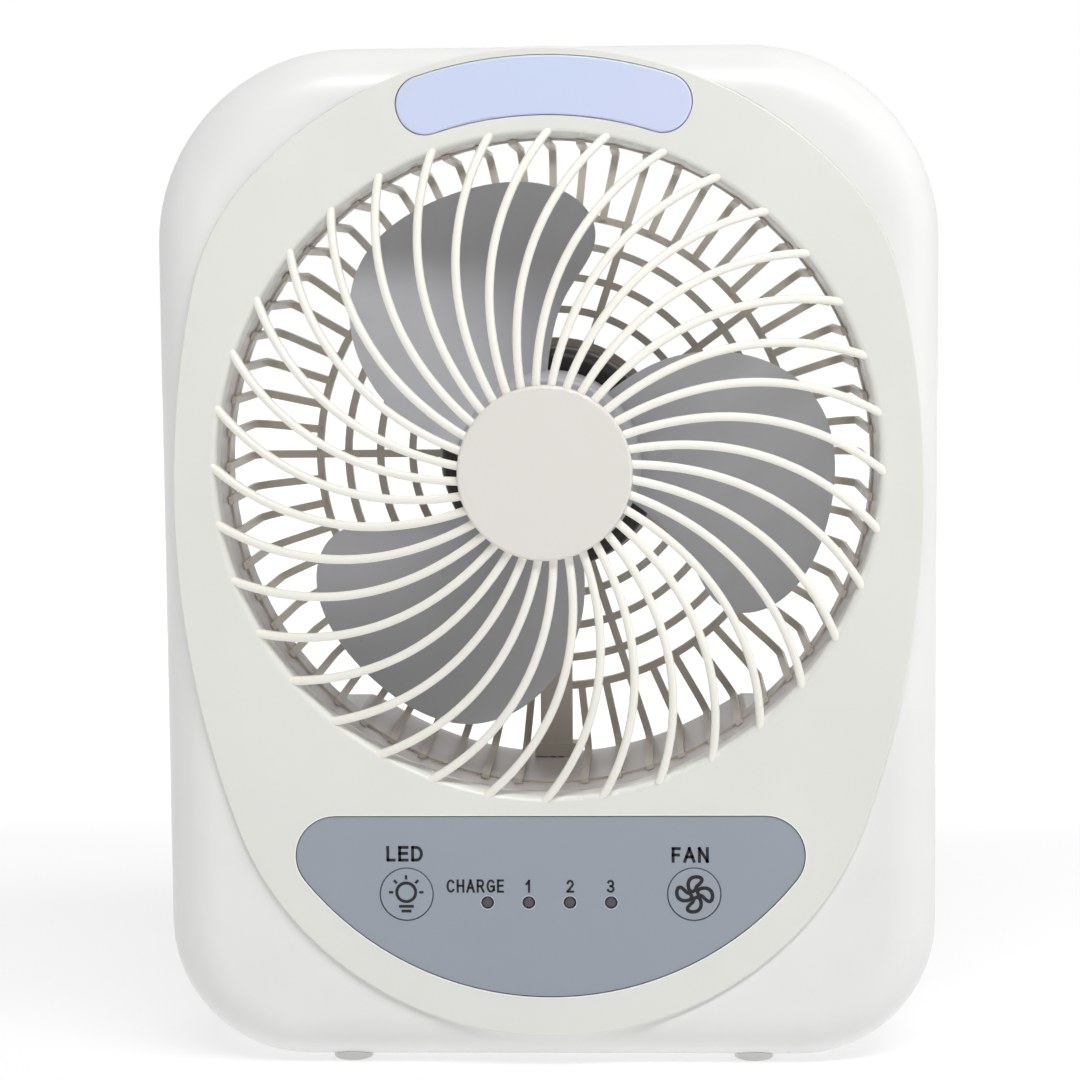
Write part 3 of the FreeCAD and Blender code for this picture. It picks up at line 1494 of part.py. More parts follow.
FASCIA = front_fascia()
NODES = [
    front_housing(),
    FASCIA,
    front_grille(FASCIA),
    rear_housing(),
    guard_wall(),
    guard_back(),
    wire_channel(),
    light_lens(),
    light_reflector(),
    light_board(),
    light_leds(),
    light_screws(),
    control_panel(),
    button("light_button", BUTTON_SIDES["light_button"]),
    button("fan_button", BUTTON_SIDES["fan_button"]),
    control_board(),
    board_connectors(),
    board_screws(),
    tact_switches(),
    indicator_leds(),
    motor_cover(),
    motor_can(),
    motor_end_cap(),
    motor_magnets(),
    motor_brushes(),
    bush("front_bush", "can_front - 2.8", "can_front + 1"),
    bush("rear_bush", "can_back - 4.1", "can_back + 0.2"),
    motor_screws(),
    motor_shaft(),
    armature_core(),
    armature_windings(),
    commutator(),
    blade_rotor(),
    rotor_nut(),
    battery(),
    battery_terminals(),
    battery_strap(),
    strap_screws(),
    charging_socket(),
    feet(),
    housing_screws(),
    motor_wires(),
    battery_wires(),
    socket_wires(),
    lamp_wires(),
]

doc.recompute()
for thing in doc.Objects:
    if "Invalid" in thing.State or "Error" in thing.State:
        raise RuntimeError("%s failed: %s" % (thing.Name, thing.State))

os.makedirs("parts", exist_ok=True)
for node in NODES:
    node.Label = node.Name
    if node.Shape.isNull() or not node.Shape.isValid():
        raise RuntimeError("%s has no valid shape" % node.Name)
    node.Shape.exportStep("parts/%s.step" % node.Label)
    print("%-20s solids %2d  volume %10.1f mm3" % (node.Label, len(node.Shape.Solids),
                                                   node.Shape.Volume))
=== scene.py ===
"""Looks of a rechargeable box fan with a lamp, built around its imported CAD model."""
import math

import bmesh
import bpy
from mathutils import Matrix, Vector


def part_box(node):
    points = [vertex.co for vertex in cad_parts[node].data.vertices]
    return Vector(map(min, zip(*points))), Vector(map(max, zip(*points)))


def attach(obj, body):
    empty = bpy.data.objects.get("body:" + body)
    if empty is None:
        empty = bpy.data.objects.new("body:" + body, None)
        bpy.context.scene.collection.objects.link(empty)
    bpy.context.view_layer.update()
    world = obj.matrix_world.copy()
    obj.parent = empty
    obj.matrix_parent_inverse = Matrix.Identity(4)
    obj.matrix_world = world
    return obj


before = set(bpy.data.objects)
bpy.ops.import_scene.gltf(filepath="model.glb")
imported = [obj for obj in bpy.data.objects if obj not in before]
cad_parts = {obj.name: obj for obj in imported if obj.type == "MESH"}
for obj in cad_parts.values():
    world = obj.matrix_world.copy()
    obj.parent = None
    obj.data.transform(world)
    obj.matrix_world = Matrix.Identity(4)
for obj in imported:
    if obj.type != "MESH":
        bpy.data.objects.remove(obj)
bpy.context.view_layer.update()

MM = 0.001


def middle(node):
    """The middle of a CAD node's box."""
    low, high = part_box(node)
    return (low + high) / 2


# The fan's axis, and the fronts of the film, the buttons and the fascia's flat face.
AXIS_X = middle("motor_shaft").x
AXIS_Z = middle("motor_shaft").z
FILM_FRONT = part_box("control_panel")[0].y
BUTTON_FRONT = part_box("light_button")[0].y
FILM_RECESS = 0.3 * MM
FACE_Y = FILM_FRONT - FILM_RECESS

# Within these distances from the axis a darker tone is painted on as shade: on the air tube's wall
# and on the hub disc.
TUBE_SHADE_REACH = 84.8 * MM
HUB_SHADE_REACH = 22.1 * MM


# ---------------------------------------------------------------- materials

GRAIN_DEPTH = 0.02 * MM
SHADE_ZONE_BLEND = 0.1 * MM


def shader(name):
    """A new material with its node tree and its main shader."""
    material = bpy.data.materials.new(name)
    material.use_nodes = True
    tree = material.node_tree
    bsdf = tree.nodes["Principled BSDF"]
    return material, tree, bsdf


def noise(tree, scale, detail=3.0, rough=0.5):
    """Noise in the object's own metres, so that it stays on the surface."""
    place = tree.nodes.new("ShaderNodeTexCoord")
    texture = tree.nodes.new("ShaderNodeTexNoise")
    texture.inputs["Scale"].default_value = scale
    texture.inputs["Detail"].default_value = detail
    texture.inputs["Roughness"].default_value = rough
    tree.links.new(place.outputs["Object"], texture.inputs["Vector"])
    return texture.outputs["Fac"]


def spread(tree, value, low, high, start=0.3, end=0.7):
    """Map a noise value to a range."""
    node = tree.nodes.new("ShaderNodeMapRange")
    node.inputs["From Min"].default_value = start
    node.inputs["From Max"].default_value = end
    node.inputs["To Min"].default_value = low
    node.inputs["To Max"].default_value = high
    tree.links.new(value, node.inputs["Value"])
    return node.outputs["Result"]


def two_tone(tree, value, first, second):
    """Blend two linear colours by a noise value."""
    ramp = tree.nodes.new("ShaderNodeValToRGB")
    ramp.color_ramp.elements[0].position = 0.35
    ramp.color_ramp.elements[0].color = (*first, 1)
    ramp.color_ramp.elements[1].position = 0.65
    ramp.color_ramp.elements[1].color = (*second, 1)
    tree.links.new(value, ramp.inputs["Fac"])
    return ramp.outputs["Color"]


def linear(color):
    """A display colour, 0 to 255, as the linear one that shaders take."""
    out = []
    for part in color:
        part /= 255
        out.append(part / 12.92 if part <= 0.04045 else ((part + 0.055) / 1.055) ** 2.4)
    return tuple(out)


def moulded(name, color, roughness, grain=0.25, grain_size=0.35, vary=0.03):
    """Injection-moulded plastic: a fine grain, slightly uneven gloss and tone."""
    material, tree, bsdf = shader(name)
    base = linear(color)
    darker = tuple(c * (1 - vary) for c in base)
    tree.links.new(two_tone(tree, noise(tree, 28), darker, base), bsdf.inputs["Base Color"])
    gloss = spread(tree, noise(tree, 60, 5), roughness - 0.05, roughness + 0.06)
    tree.links.new(gloss, bsdf.inputs["Roughness"])
    bump = tree.nodes.new("ShaderNodeBump")
    bump.inputs["Strength"].default_value = grain
    bump.inputs["Distance"].default_value = GRAIN_DEPTH
    tree.links.new(noise(tree, 1 / (grain_size * MM), 2), bump.inputs["Height"])
    tree.links.new(bump.outputs["Normal"], bsdf.inputs["Normal"])
    return material


def painted_shade_zone(material, radius, color):
    """Painted shade: a darker tone within a radius of the fan's axis, on the hub disc and on the
    air tube's wall.
    """
    tree = material.node_tree
    bsdf = tree.nodes["Principled BSDF"]
    outer = bsdf.inputs["Base Color"].links[0].from_socket
    spot = tree.nodes.new("ShaderNodeTexCoord")
    flat = tree.nodes.new("ShaderNodeVectorMath")
    flat.operation = "MULTIPLY_ADD"
    flat.inputs[1].default_value = (1, 0, 1)
    flat.inputs[2].default_value = (-AXIS_X, 0, -AXIS_Z)
    tree.links.new(spot.outputs["Object"], flat.inputs[0])
    away = tree.nodes.new("ShaderNodeVectorMath")
    away.operation = "LENGTH"
    tree.links.new(flat.outputs["Vector"], away.inputs[0])
    mask = spread(tree, away.outputs["Value"], 0.0, 1.0, radius, radius + SHADE_ZONE_BLEND)
    mix = tree.nodes.new("ShaderNodeMix")
    mix.data_type = "RGBA"
    factor, first, second = mix.inputs[0], mix.inputs[6], mix.inputs[7]
    blended = mix.outputs[2]
    first.default_value = (*linear(color), 1)
    tree.links.new(mask, factor)
    tree.links.new(outer, second)
    tree.links.new(blended, bsdf.inputs["Base Color"])
    return material


def metal(name, color, roughness, vary=0.12, streak=False):
    """Bare or plated metal with an uneven finish."""
    material, tree, bsdf = shader(name)
    base = linear(color)
    darker = tuple(c * (1 - vary) for c in base)
    tree.links.new(two_tone(tree, noise(tree, 220, 4), darker, base), bsdf.inputs["Base Color"])
    gloss = spread(tree, noise(tree, 900 if streak else 300, 4), roughness - 0.08, roughness + 0.1)
    tree.links.new(gloss, bsdf.inputs["Roughness"])
    bsdf.inputs["Metallic"].default_value = 1.0
    return material


def frosted(name, color, roughness, transmission):
    """Frosted lens plastic."""
    material, tree, bsdf = shader(name)
    base = linear(color)
    bluer = (base[0] * 0.95, base[1], base[2] * 0.98)
    tree.links.new(two_tone(tree, noise(tree, 18, 1.0), base, bluer), bsdf.inputs["Base Color"])
    gloss = spread(tree, noise(tree, 80, 4), roughness - 0.01, roughness + 0.02)
    tree.links.new(gloss, bsdf.inputs["Roughness"])
    bsdf.inputs["Transmission Weight"].default_value = transmission
    bsdf.inputs["IOR"].default_value = 1.49
    return material


def ink(name, color):
    """Screen-printed ink, a little uneven; the same finish also makes the thin painted shade and
    painted highlight lines on edges.
    """
    material, tree, bsdf = shader(name)
    base = linear(color)
    paler = tuple(c + 0.012 for c in base)
    tree.links.new(two_tone(tree, noise(tree, 1500, 3), base, paler), bsdf.inputs["Base Color"])
    tree.links.new(spread(tree, noise(tree, 2500, 2), 0.45, 0.6), bsdf.inputs["Roughness"])
    return material


# The housing's white, with a darker tone on the air tube's wall that is painted shade.
WHITE_WITH_PAINTED_TUBE_SHADE = painted_shade_zone(moulded("housing_white_tube_painted_shade", (235, 235, 234), 0.34, grain=0.30), TUBE_SHADE_REACH,
              (212, 206, 206))
FASCIA = moulded("fascia_warm_white", (229, 230, 224), 0.36, grain=0.30)
# The ribs' tone, lighter than the fascia's, is painted light; the darker tone on the hub disc is
# painted shade.
RIBS = painted_shade_zone(moulded("grille_cream_painted_light_hub_shade", (247, 245, 236), 0.32, grain=0.20), HUB_SHADE_REACH,
             (226, 223, 217))
# The guard's tone, darker and warmer than the housing's white, is partly its own colour and partly
# painted shade for the shade deep in the air tube.
GUARD = moulded("guard_white_partly_painted_shade", (208, 200, 188), 0.40, grain=0.25)
GREY_ROTOR = moulded("rotor_grey", (184, 185, 190), 0.32, grain=0.12)
PANEL = moulded("panel_film_grey", (152, 160, 170), 0.42, grain=0.35, grain_size=0.2, vary=0.02)
KEY = moulded("button_film_grey", (153, 161, 171), 0.42, grain=0.35, grain_size=0.2, vary=0.02)
LENS = frosted("lens_frosted", (208, 214, 242), 0.30, 0.0)
TRAY = moulded("reflector_white", (240, 240, 244), 0.25, grain=0.05)
BLACK = moulded("motor_black", (38, 35, 34), 0.45, grain=0.30)
DARK = moulded("fitting_black", (30, 30, 32), 0.40, grain=0.20)
BATTERY = moulded("battery_grey", (62, 64, 68), 0.50, grain=0.30)
BOARD = moulded("board_green", (26, 92, 52), 0.38, grain=0.10, vary=0.10)
DOT = frosted("indicator_smoke", (84, 80, 90), 0.25, 0.10)
LAMP_LED = frosted("lamp_led_clear", (250, 246, 214), 0.15, 0.25)
RUBBER = moulded("foot_rubber", (236, 236, 234), 0.70, grain=0.50)
STEEL = metal("plated_steel", (182, 182, 184), 0.32)
SCREW = metal("zinc_screw", (188, 190, 192), 0.30)
MAGNET = moulded("magnet_ferrite", (48, 48, 50), 0.60, grain=0.50)
COPPER = metal("copper", (186, 112, 72), 0.34, streak=True)
BRONZE = metal("sintered_bronze", (170, 132, 78), 0.50)
WIRE = moulded("wire_red", (170, 30, 26), 0.45, grain=0.10)
INK = ink("print_ink", (12, 13, 20))
# Painted shade: thin dark lines in the gaps round the buttons and round the film.
PAINTED_GAP_SHADE = ink("button_rim_shade", (66, 69, 76))
# Painted highlight: pale rings on the edges of the indicator holes.
PAINTED_EDGE_HIGHLIGHT = ink("painted_dot_edge_highlight", (190, 196, 204))
# Painted highlight: a bright line on the rounded edge of the recess round the film.
PAINTED_LIP_HIGHLIGHT = moulded("recess_lip_painted_highlight", (250, 250, 247), 0.30, grain=0.05)

NODE_MATERIALS = {
    "front_housing": WHITE_WITH_PAINTED_TUBE_SHADE,
    "rear_housing": WHITE_WITH_PAINTED_TUBE_SHADE,
    "front_fascia": FASCIA,
    "front_grille": RIBS,
    "guard_wall": GUARD,
    "guard_back": GUARD,
    "wire_channel": GUARD,
    "light_lens": LENS,
    "light_reflector": TRAY,
    "light_board": BOARD,
    "light_leds": LAMP_LED,
    "light_screws": SCREW,
    "control_panel": PANEL,
    "light_button": KEY,
    "fan_button": KEY,
    "control_board": BOARD,
    "board_connectors": TRAY,
    "board_screws": SCREW,
    "tact_switches": DARK,
    "indicator_leds": DOT,
    "motor_cover": BLACK,
    "motor_can": STEEL,
    "motor_end_cap": DARK,
    "motor_magnets": MAGNET,
    "motor_brushes": COPPER,
    "front_bush": BRONZE,
    "rear_bush": BRONZE,
    "motor_screws": SCREW,
    "motor_shaft": STEEL,
    "armature_core": STEEL,
    "armature_windings": COPPER,
    "commutator": COPPER,
    "blade_rotor": GREY_ROTOR,
    "rotor_nut": SCREW,
    "battery": BATTERY,
    "battery_terminals": STEEL,
    "battery_strap": STEEL,
    "strap_screws": SCREW,
    "charging_socket": DARK,
    "feet": RUBBER,
    "housing_screws": SCREW,
    "motor_wires": WIRE,
    "battery_wires": WIRE,
    "socket_wires": WIRE,
    "lamp_wires": WIRE,
}


# ---------------------------------------------------------------- smooth shading

def smoothing_nodes(angle):
    """Geometry nodes: join loose corners, then shade smooth below an edge angle."""
    tree = bpy.data.node_groups.new("smooth_below_angle", "GeometryNodeTree")
    tree.interface.new_socket("Geometry", in_out="INPUT", socket_type="NodeSocketGeometry")
    tree.interface.new_socket("Geometry", in_out="OUTPUT", socket_type="NodeSocketGeometry")
    start = tree.nodes.new("NodeGroupInput")
    merge = tree.nodes.new("GeometryNodeMergeByDistance")
    merge.inputs["Distance"].default_value = 0.002 * MM
    faces = tree.nodes.new("GeometryNodeSetShadeSmooth")
    faces.domain = "FACE"
    edges = tree.nodes.new("GeometryNodeSetShadeSmooth")
    edges.domain = "EDGE"
    edges.inputs["Shade Smooth"].default_value = False
    bend = tree.nodes.new("GeometryNodeInputMeshEdgeAngle")
    sharp = tree.nodes.new("FunctionNodeCompare")
    sharp.data_type = "FLOAT"
    sharp.operation = "GREATER_THAN"
    sharp.inputs["B"].default_value = angle
    end = tree.nodes.new("NodeGroupOutput")
    tree.links.new(start.outputs["Geometry"], merge.inputs["Geometry"])
    tree.links.new(merge.outputs["Geometry"], faces.inputs["Geometry"])
    tree.links.new(faces.outputs["Geometry"], edges.inputs["Geometry"])
    tree.links.new(bend.outputs["Unsigned Angle"], sharp.inputs["A"])
    tree.links.new(sharp.outputs["Result"], edges.inputs["Selection"])
    tree.links.new(edges.outputs["Geometry"], end.inputs["Geometry"])
    return tree


SHARPEST_SMOOTH_EDGE = math.radians(28)
SMOOTH = smoothing_nodes(SHARPEST_SMOOTH_EDGE)


def dress(obj, material):
    """Give a CAD node its material and smooth shading."""
    obj.data.materials.clear()
    obj.data.materials.append(material)
    normals = obj.data.attributes.get("custom_normal")
    if normals:
        obj.data.attributes.remove(normals)
    obj.modifiers.new("smooth", "NODES").node_group = SMOOTH
    weighted = obj.modifiers.new("weighted", "WEIGHTED_NORMAL")
    weighted.keep_sharp = True


for node_name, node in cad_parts.items():
    dress(node, NODE_MATERIALS[node_name])


# ---------------------------------------------------------------- printed legends, and painted shade and highlight lines on edges

def place(obj, body, material, slot):
    """Give a thin mesh its material and hang it on a body: printed legends, and the painted shade
    and painted highlight lines.
    """
    obj.data.materials.clear()
    obj.data.materials.append(material)
    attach(obj, body)
    return obj


def on_face(x, z, depth):
    """A point beside the fan's axis, in millimetres, at a depth in metres along Y."""
    return Vector((AXIS_X + x * MM, depth, AXIS_Z + z * MM))


def flat_mesh(name, build):
    """A thin mesh drawn in X and Z about the axis."""
    mesh = bpy.data.meshes.new(name)
    shape = bmesh.new()
    build(shape)
    shape.normal_update()
    shape.to_mesh(mesh)
    shape.free()
    obj = bpy.data.objects.new(name, mesh)
    bpy.context.scene.collection.objects.link(obj)
    return obj


def ribbon(shape, points, width, depth, closed=False):
    """A line of one width along points given in millimetres, for print and for painted shade and
    highlights.
    """
    count = len(points)
    rows = []
    for i, point in enumerate(points):
        before = points[i - 1] if closed or i else points[i]
        after = points[(i + 1) % count] if closed or i < count - 1 else points[i]
        along = Vector((after[0] - before[0], after[1] - before[1])).normalized()
        side = Vector((-along.y, along.x)) * width / 2
        rows.append([shape.verts.new(on_face(point[0] + side.x * s, point[1] + side.y * s, depth))
                     for s in (-1, 1)])
    last = count if closed else count - 1
    for i in range(last):
        a, b = rows[i], rows[(i + 1) % count]
        shape.faces.new((a[0], b[0], b[1], a[1]))


def circle_points(x, z, radius, count=72, start=0.0, sweep=360.0):
    """Points round a circle; a full turn leaves out the last, which is the first."""
    steps = count if sweep >= 360 else count - 1
    turns = [math.radians(start + sweep * i / steps) for i in range(count)]
    return [(x + radius * math.cos(t), z + radius * math.sin(t)) for t in turns]


def smooth_loop(points, per_span=8):
    """A closed Catmull-Rom curve through points."""
    out = []
    count = len(points)
    for i in range(count):
        p0, p1, p2, p3 = (points[(i + k - 1) % count] for k in range(4))
        for step in range(per_span):
            t = step / per_span
            out.append(tuple(
                0.5 * (2 * b + (c - a) * t + (2 * a - 5 * b + 4 * c - d) * t * t
                       + (3 * b - a - 3 * c + d) * t ** 3)
                for a, b, c, d in zip(p0, p1, p2, p3)))
    return out


def bow(x, z, reach_x, reach_z, start, end, steps=16):
    """Points round part of an ellipse, from one angle in degrees to another."""
    turns = [math.radians(start + (end - start) * i / steps) for i in range(steps + 1)]
    return [(x + reach_x * math.cos(t), z + reach_z * math.sin(t)) for t in turns]


# Each letter: its width beside the others, and its strokes in a unit square.
LETTERS = {
    "A": (1.12, [[(0, 0), (0.5, 1)], [(0.5, 1), (1, 0)], [(0.2, 0.34), (0.8, 0.34)]]),
    "C": (1.08, [bow(0.53, 0.5, 0.53, 0.5, 42, 318)]),
    "D": (1.02, [[(0, 0), (0, 1)], [(0, 1)] + bow(0.42, 0.5, 0.58, 0.5, 90, -90) + [(0, 0)]]),
    "E": (0.90, [[(0, 0), (0, 1)], [(0, 1), (1, 1)], [(0, 0.53), (0.92, 0.53)], [(0, 0), (1, 0)]]),
    "F": (0.84, [[(0, 0), (0, 1)], [(0, 1), (1, 1)], [(0, 0.5), (0.86, 0.5)]]),
    "G": (1.12, [bow(0.52, 0.5, 0.52, 0.5, 45, 322), [(0.56, 0.47), (0.98, 0.47)],
                 [(0.98, 0.47), (0.98, 0.14)]]),
    "H": (1.00, [[(0, 0), (0, 1)], [(1, 0), (1, 1)], [(0, 0.53), (1, 0.53)]]),
    "L": (0.80, [[(0, 0), (0, 1)], [(0, 0), (1, 0)]]),
    "N": (1.00, [[(0, 0), (0, 1)], [(0, 1), (1, 0)], [(1, 0), (1, 1)]]),
    "R": (1.04, [[(0, 0), (0, 1)], [(0, 1)] + bow(0.56, 0.745, 0.36, 0.255, 90, -90) + [(0, 0.49)],
                 [(0.52, 0.49), (0.98, 0)]]),
    "1": (0.50, [[(0.8, 0), (0.8, 1)], [(0.8, 0.97), (0, 0.7)]]),
    "2": (0.85, [bow(0.5, 0.72, 0.47, 0.28, 165, -38) + [(0.04, 0.02)], [(0, 0), (1, 0)]]),
    "3": (0.85, [bow(0.45, 0.75, 0.45, 0.25, 155, -90), bow(0.45, 0.255, 0.53, 0.255, 90, -155)]),
}


# The gap between letters, beside their widths.
LETTER_GAP = 0.22


def capped(points, reach):
    """The same line, a little longer at both ends."""
    first, second = Vector(points[0]), Vector(points[1])
    last, before = Vector(points[-1]), Vector(points[-2])
    start = first + (first - second).normalized() * reach
    end = last + (last - before).normalized() * reach
    return [tuple(start)] + list(points[1:-1]) + [tuple(end)]


def label(name, words, x, z, height, width, stroke):
    """Printed capitals, centred on a point and fitted to a height and width in millimetres."""
    total = sum(LETTERS[letter][0] for letter in words) + LETTER_GAP * (len(words) - 1)
    unit = width / total

    def build(shape):
        left = x - width / 2
        tall = height - stroke
        for letter in words:
            share, strokes = LETTERS[letter]
            wide = share * unit - stroke
            for line in strokes:
                points = [(left + stroke / 2 + u * wide, z - tall / 2 + v * tall) for u, v in line]
                ribbon(shape, capped(points, stroke / 2), stroke, FILM_FRONT - PRINT_AND_PAINT_OFFSET)
            left += (share + LETTER_GAP) * unit
    return place(flat_mesh(name, build), "housing", INK, "panel_film")


# How far prints and painted shade and highlight lines stand off their face, then places and sizes
# in millimetres from the axis.
PRINT_AND_PAINT_OFFSET = 0.03 * MM
BUTTON_SKIRT = 1.15
BUTTON_Z = (middle("light_button").z - AXIS_Z) / MM
LAMP_X = (middle("light_button").x - AXIS_X) / MM
FAN_X = (middle("fan_button").x - AXIS_X) / MM
BUTTON_RADIUS = ((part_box("light_button")[1].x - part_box("light_button")[0].x) / 2 / MM
                 - BUTTON_SKIRT)
DOT_Z = (middle("indicator_leds").z - AXIS_Z) / MM
DOT_COUNT = 4
DOT_RADIUS = 1.5
DOT_BASE_RADIUS = 1.9
DOT_FIRST = (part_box("indicator_leds")[0].x - AXIS_X) / MM + DOT_BASE_RADIUS
DOT_LAST = (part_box("indicator_leds")[1].x - AXIS_X) / MM - DOT_BASE_RADIUS
DOT_PITCH = (DOT_LAST - DOT_FIRST) / (DOT_COUNT - 1)


def bulb_icon(shape):
    """A ring with five rays above two short bars."""
    x, z = LAMP_X - 0.1, BUTTON_Z + 0.55
    depth = BUTTON_FRONT - PRINT_AND_PAINT_OFFSET
    ribbon(shape, circle_points(x, z, 2.45), 0.8, depth, closed=True)
    for degrees in (0, 45, 90, 135, 180):
        turn = math.radians(degrees)
        ray = [(x + r * math.cos(turn), z + r * math.sin(turn)) for r in (3.35, 4.5)]
        ribbon(shape, ray, 0.66, depth)
    for drop, half in ((3.7, 1.9), (4.95, 1.3)):
        ribbon(shape, [(x - half, z - drop), (x + half, z - drop)], 0.76, depth)


def fan_icon(shape):
    """Four curved blades drawn as outlined loops round a small diamond."""
    petal = [(-1.35, 1.2), (-1.65, 2.3), (-1.5, 3.4), (-0.75, 4.3), (0.5, 4.6), (1.6, 4.3),
             (1.85, 3.6), (1.25, 2.75), (0.5, 2.0), (0.1, 1.15), (-0.6, 0.75)]
    x = FAN_X + 0.1
    depth = BUTTON_FRONT - PRINT_AND_PAINT_OFFSET
    for quarter in range(4):
        turn = math.radians(90 * quarter)
        points = [(x + u * math.cos(turn) + v * math.sin(turn),
                   BUTTON_Z - u * math.sin(turn) + v * math.cos(turn)) for u, v in petal]
        ribbon(shape, smooth_loop(points), 0.95, depth - 0.002 * MM * quarter, closed=True)


def button_rim(x):
    """Painted shade: a thin dark line on the film round a button, where the gap round its cap is.
    """
    def build(shape):
        ribbon(shape, circle_points(x, BUTTON_Z, BUTTON_RADIUS + 0.2, 96), 0.16,
               FILM_FRONT - PRINT_AND_PAINT_OFFSET, closed=True)
    return build


# Radii of the film's two shoulders and of its round bottom.
PANEL_SHOULDER = 10.4
PANEL_BOTTOM = 81.1


def panel_outline(shape, outside, width, depth):
    """A line along the film's flat top and round bottom, a little outside its edge."""
    low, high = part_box("control_panel")
    bottom, top = (low.z - AXIS_Z) / MM, (high.z - AXIS_Z) / MM
    bend, big = PANEL_SHOULDER, PANEL_BOTTOM
    centre = bottom + big
    drop = top - bend - centre
    side = math.sqrt((big - bend) ** 2 - drop ** 2)
    slope = math.degrees(math.atan2(drop, side))
    points = circle_points(side, centre + drop, bend + outside, 24, slope, 90 - slope)
    points += circle_points(-side, centre + drop, bend + outside, 24, 90, 90 - slope)
    points += circle_points(0, centre, big + outside, 90, 180 - slope, 180 + 2 * slope)[1:-1]
    ribbon(shape, points, width, depth, closed=True)


def panel_edge(shape):
    """Painted shade: a thin dark line for the gap round the film."""
    panel_outline(shape, 0.0, 0.26, FILM_FRONT - PRINT_AND_PAINT_OFFSET)


def panel_lip_highlight(shape):
    """Painted highlight: a thin bright line for the rounded edge of the recess round the film."""
    panel_outline(shape, 0.28, 0.28, FACE_Y - PRINT_AND_PAINT_OFFSET)


def dot_edge_highlight(x):
    """Painted highlight: a thin pale ring for the edge of a hole in the film."""
    def build(shape):
        ribbon(shape, circle_points(x, DOT_Z, DOT_RADIUS + 0.28, 48), 0.2, FILM_FRONT - PRINT_AND_PAINT_OFFSET,
               closed=True)
    return build


label("legend_lamp", "LED", -37.6, -99.45, 4.1, 9.5, 0.78)
label("legend_fan", "FAN", 36.2, -99.8, 4.1, 9.6, 0.78)
label("legend_charge", "CHARGE", -19.4, -107.95, 3.5, 14.9, 0.57)
for digit, digit_x in (("1", -5.7), ("2", 5.2), ("3", 15.7)):
    label("legend_speed_" + digit, digit, digit_x, -108.0, 3.4, 1.4 if digit == "1" else 2.0, 0.58)
place(flat_mesh("bulb_symbol", bulb_icon), "light_button", INK, "panel_film")
place(flat_mesh("fan_symbol", fan_icon), "fan_button", INK, "panel_film")
place(flat_mesh("lamp_button_rim", button_rim(LAMP_X)), "housing", PAINTED_GAP_SHADE, "panel_film")
place(flat_mesh("fan_button_rim", button_rim(FAN_X)), "housing", PAINTED_GAP_SHADE, "panel_film")
place(flat_mesh("panel_edge_line", panel_edge), "housing", PAINTED_GAP_SHADE, "panel_film")
place(flat_mesh("panel_recess_lip", panel_lip_highlight), "housing", PAINTED_LIP_HIGHLIGHT, "fascia")
for i in range(DOT_COUNT):
    place(flat_mesh("dot_edge_%d" % i, dot_edge_highlight(DOT_FIRST + DOT_PITCH * i)), "housing", PAINTED_EDGE_HIGHLIGHT,
          "panel_film")


# ---------------------------------------------------------------- studio

# The surround's brightness in front of the fan and behind it, as the object sees it.
WORLD_FRONT = 0.06
WORLD_BACK = 0.7


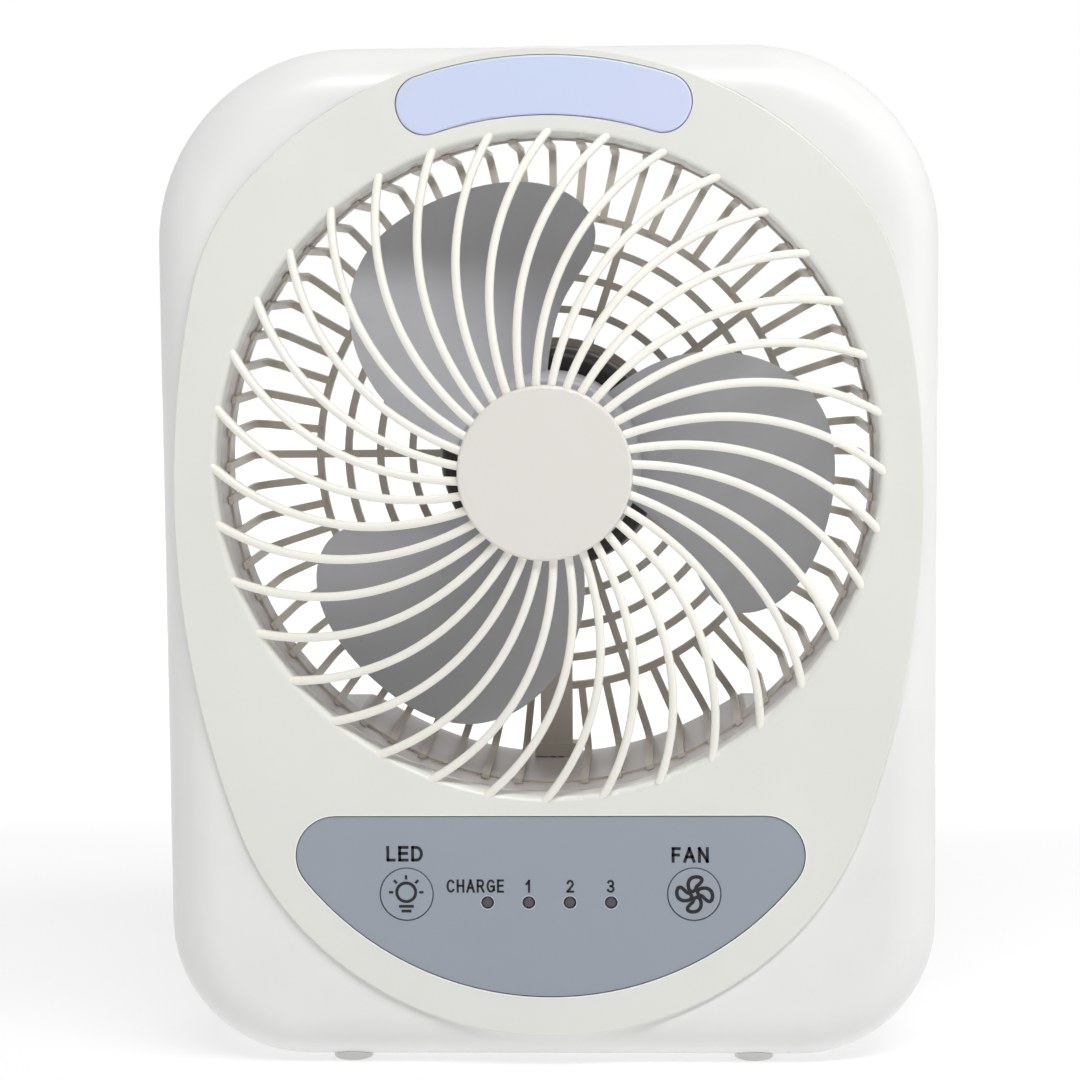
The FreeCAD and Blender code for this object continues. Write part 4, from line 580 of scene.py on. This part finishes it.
def studio():
    """A pale floor that fades into a white surround, bright behind and dim in front."""
    bpy.ops.mesh.primitive_plane_add(size=8, location=(0, 0, 0))
    floor = bpy.context.object
    floor.name = "studio_floor"
    material, tree, bsdf = shader("floor_white")
    tree.links.new(two_tone(tree, noise(tree, 0.7), (0.90, 0.90, 0.90), (0.92, 0.92, 0.92)),
                   bsdf.inputs["Base Color"])
    bsdf.inputs["Roughness"].default_value = 0.45
    glow = tree.nodes.new("ShaderNodeEmission")
    glow.inputs["Strength"].default_value = 1.15
    spot = tree.nodes.new("ShaderNodeTexCoord")
    away = tree.nodes.new("ShaderNodeVectorMath")
    away.operation = "LENGTH"
    tree.links.new(spot.outputs["Object"], away.inputs[0])
    split = tree.nodes.new("ShaderNodeSeparateXYZ")
    tree.links.new(spot.outputs["Object"], split.inputs["Vector"])
    near = spread(tree, away.outputs["Value"], 0.5, 0.55, 0.18, 0.36)
    behind = spread(tree, split.outputs["Y"], 0.0, 1.0, 0.05, 0.45)
    either = tree.nodes.new("ShaderNodeMath")
    either.operation = "MAXIMUM"
    tree.links.new(near, either.inputs[0])
    tree.links.new(behind, either.inputs[1])
    mix = tree.nodes.new("ShaderNodeMixShader")
    tree.links.new(either.outputs["Value"], mix.inputs["Fac"])
    tree.links.new(bsdf.outputs["BSDF"], mix.inputs[1])
    tree.links.new(glow.outputs["Emission"], mix.inputs[2])
    tree.links.new(mix.outputs["Shader"], tree.nodes["Material Output"].inputs["Surface"])
    floor.data.materials.append(material)
    world = bpy.data.worlds.new("studio")
    bpy.context.scene.world = world
    world.use_nodes = True
    tree = world.node_tree
    surround = tree.nodes["Background"]
    direction = tree.nodes.new("ShaderNodeTexCoord")
    split = tree.nodes.new("ShaderNodeSeparateXYZ")
    tree.links.new(direction.outputs["Generated"], split.inputs["Vector"])
    lit = spread(tree, split.outputs["Y"], WORLD_FRONT, WORLD_BACK, -0.3, 0.3)
    seen = tree.nodes.new("ShaderNodeBackground")
    seen.inputs["Strength"].default_value = 1.0
    tree.links.new(lit, surround.inputs["Strength"])
    rays = tree.nodes.new("ShaderNodeLightPath")
    choose = tree.nodes.new("ShaderNodeMixShader")
    tree.links.new(rays.outputs["Is Camera Ray"], choose.inputs["Fac"])
    tree.links.new(surround.outputs["Background"], choose.inputs[1])
    tree.links.new(seen.outputs["Background"], choose.inputs[2])
    tree.links.new(choose.outputs["Shader"], tree.nodes["World Output"].inputs["Surface"])
    for background in (surround, seen):
        background.inputs["Color"].default_value = (1, 1, 1, 1)


def soft_light(name, position, size, power):
    """A rectangular softbox that faces the fan."""
    lamp = bpy.data.lights.new(name, "AREA")
    lamp.shape = "RECTANGLE"
    lamp.size, lamp.size_y = size
    lamp.energy = power
    obj = bpy.data.objects.new(name, lamp)
    bpy.context.scene.collection.objects.link(obj)
    obj.location = position
    target = Vector((AXIS_X, 0, AXIS_Z))
    obj.rotation_euler = (target - Vector(position)).to_track_quat("-Z", "Y").to_euler()


# The camera: degrees it is turned left, down and round its own line of sight; how far it is
# right of the fan's axis, in front of its face and above the axis; and its lens, in millimetres.
CAMERA_TURN = (2.273, 5.480, 0.501)
CAMERA_RIGHT = 26.52
CAMERA_AWAY = 714
CAMERA_ABOVE = 50.51
CAMERA_LENS = 93.7


def camera():
    """In front, a little to the right and above the fan's axis, tilted down and left."""
    yaw, pitch, roll = (math.radians(a) for a in CAMERA_TURN)
    forward = Vector((-math.sin(yaw) * math.cos(pitch), math.cos(yaw) * math.cos(pitch),
                      -math.sin(pitch)))
    level = Vector((math.cos(yaw), math.sin(yaw), 0))
    above = level.cross(forward)
    right = level * math.cos(roll) - above * math.sin(roll)
    up = level * math.sin(roll) + above * math.cos(roll)
    lens = bpy.data.cameras.new("camera")
    lens.lens = CAMERA_LENS
    lens.sensor_width = 36
    lens.clip_start = 0.02
    obj = bpy.data.objects.new("camera", lens)
    bpy.context.scene.collection.objects.link(obj)
    stand = Matrix.Translation((AXIS_X + CAMERA_RIGHT * MM, FACE_Y - CAMERA_AWAY * MM,
                                AXIS_Z + CAMERA_ABOVE * MM))
    obj.matrix_world = stand @ Matrix((right, up, -forward)).transposed().to_4x4()
    bpy.context.scene.camera = obj


studio()
soft_light("top_light", (0.3, -0.85, 1.3), (1.4, 0.28), 18.5)
soft_light("left_light", (-1.35, -0.32, 0.40), (0.7, 1.1), 1.3)
soft_light("right_light", (1.35, -0.32, 0.45), (0.7, 1.1), 2.9)
camera()
bpy.context.scene.view_settings.view_transform = "Standard"
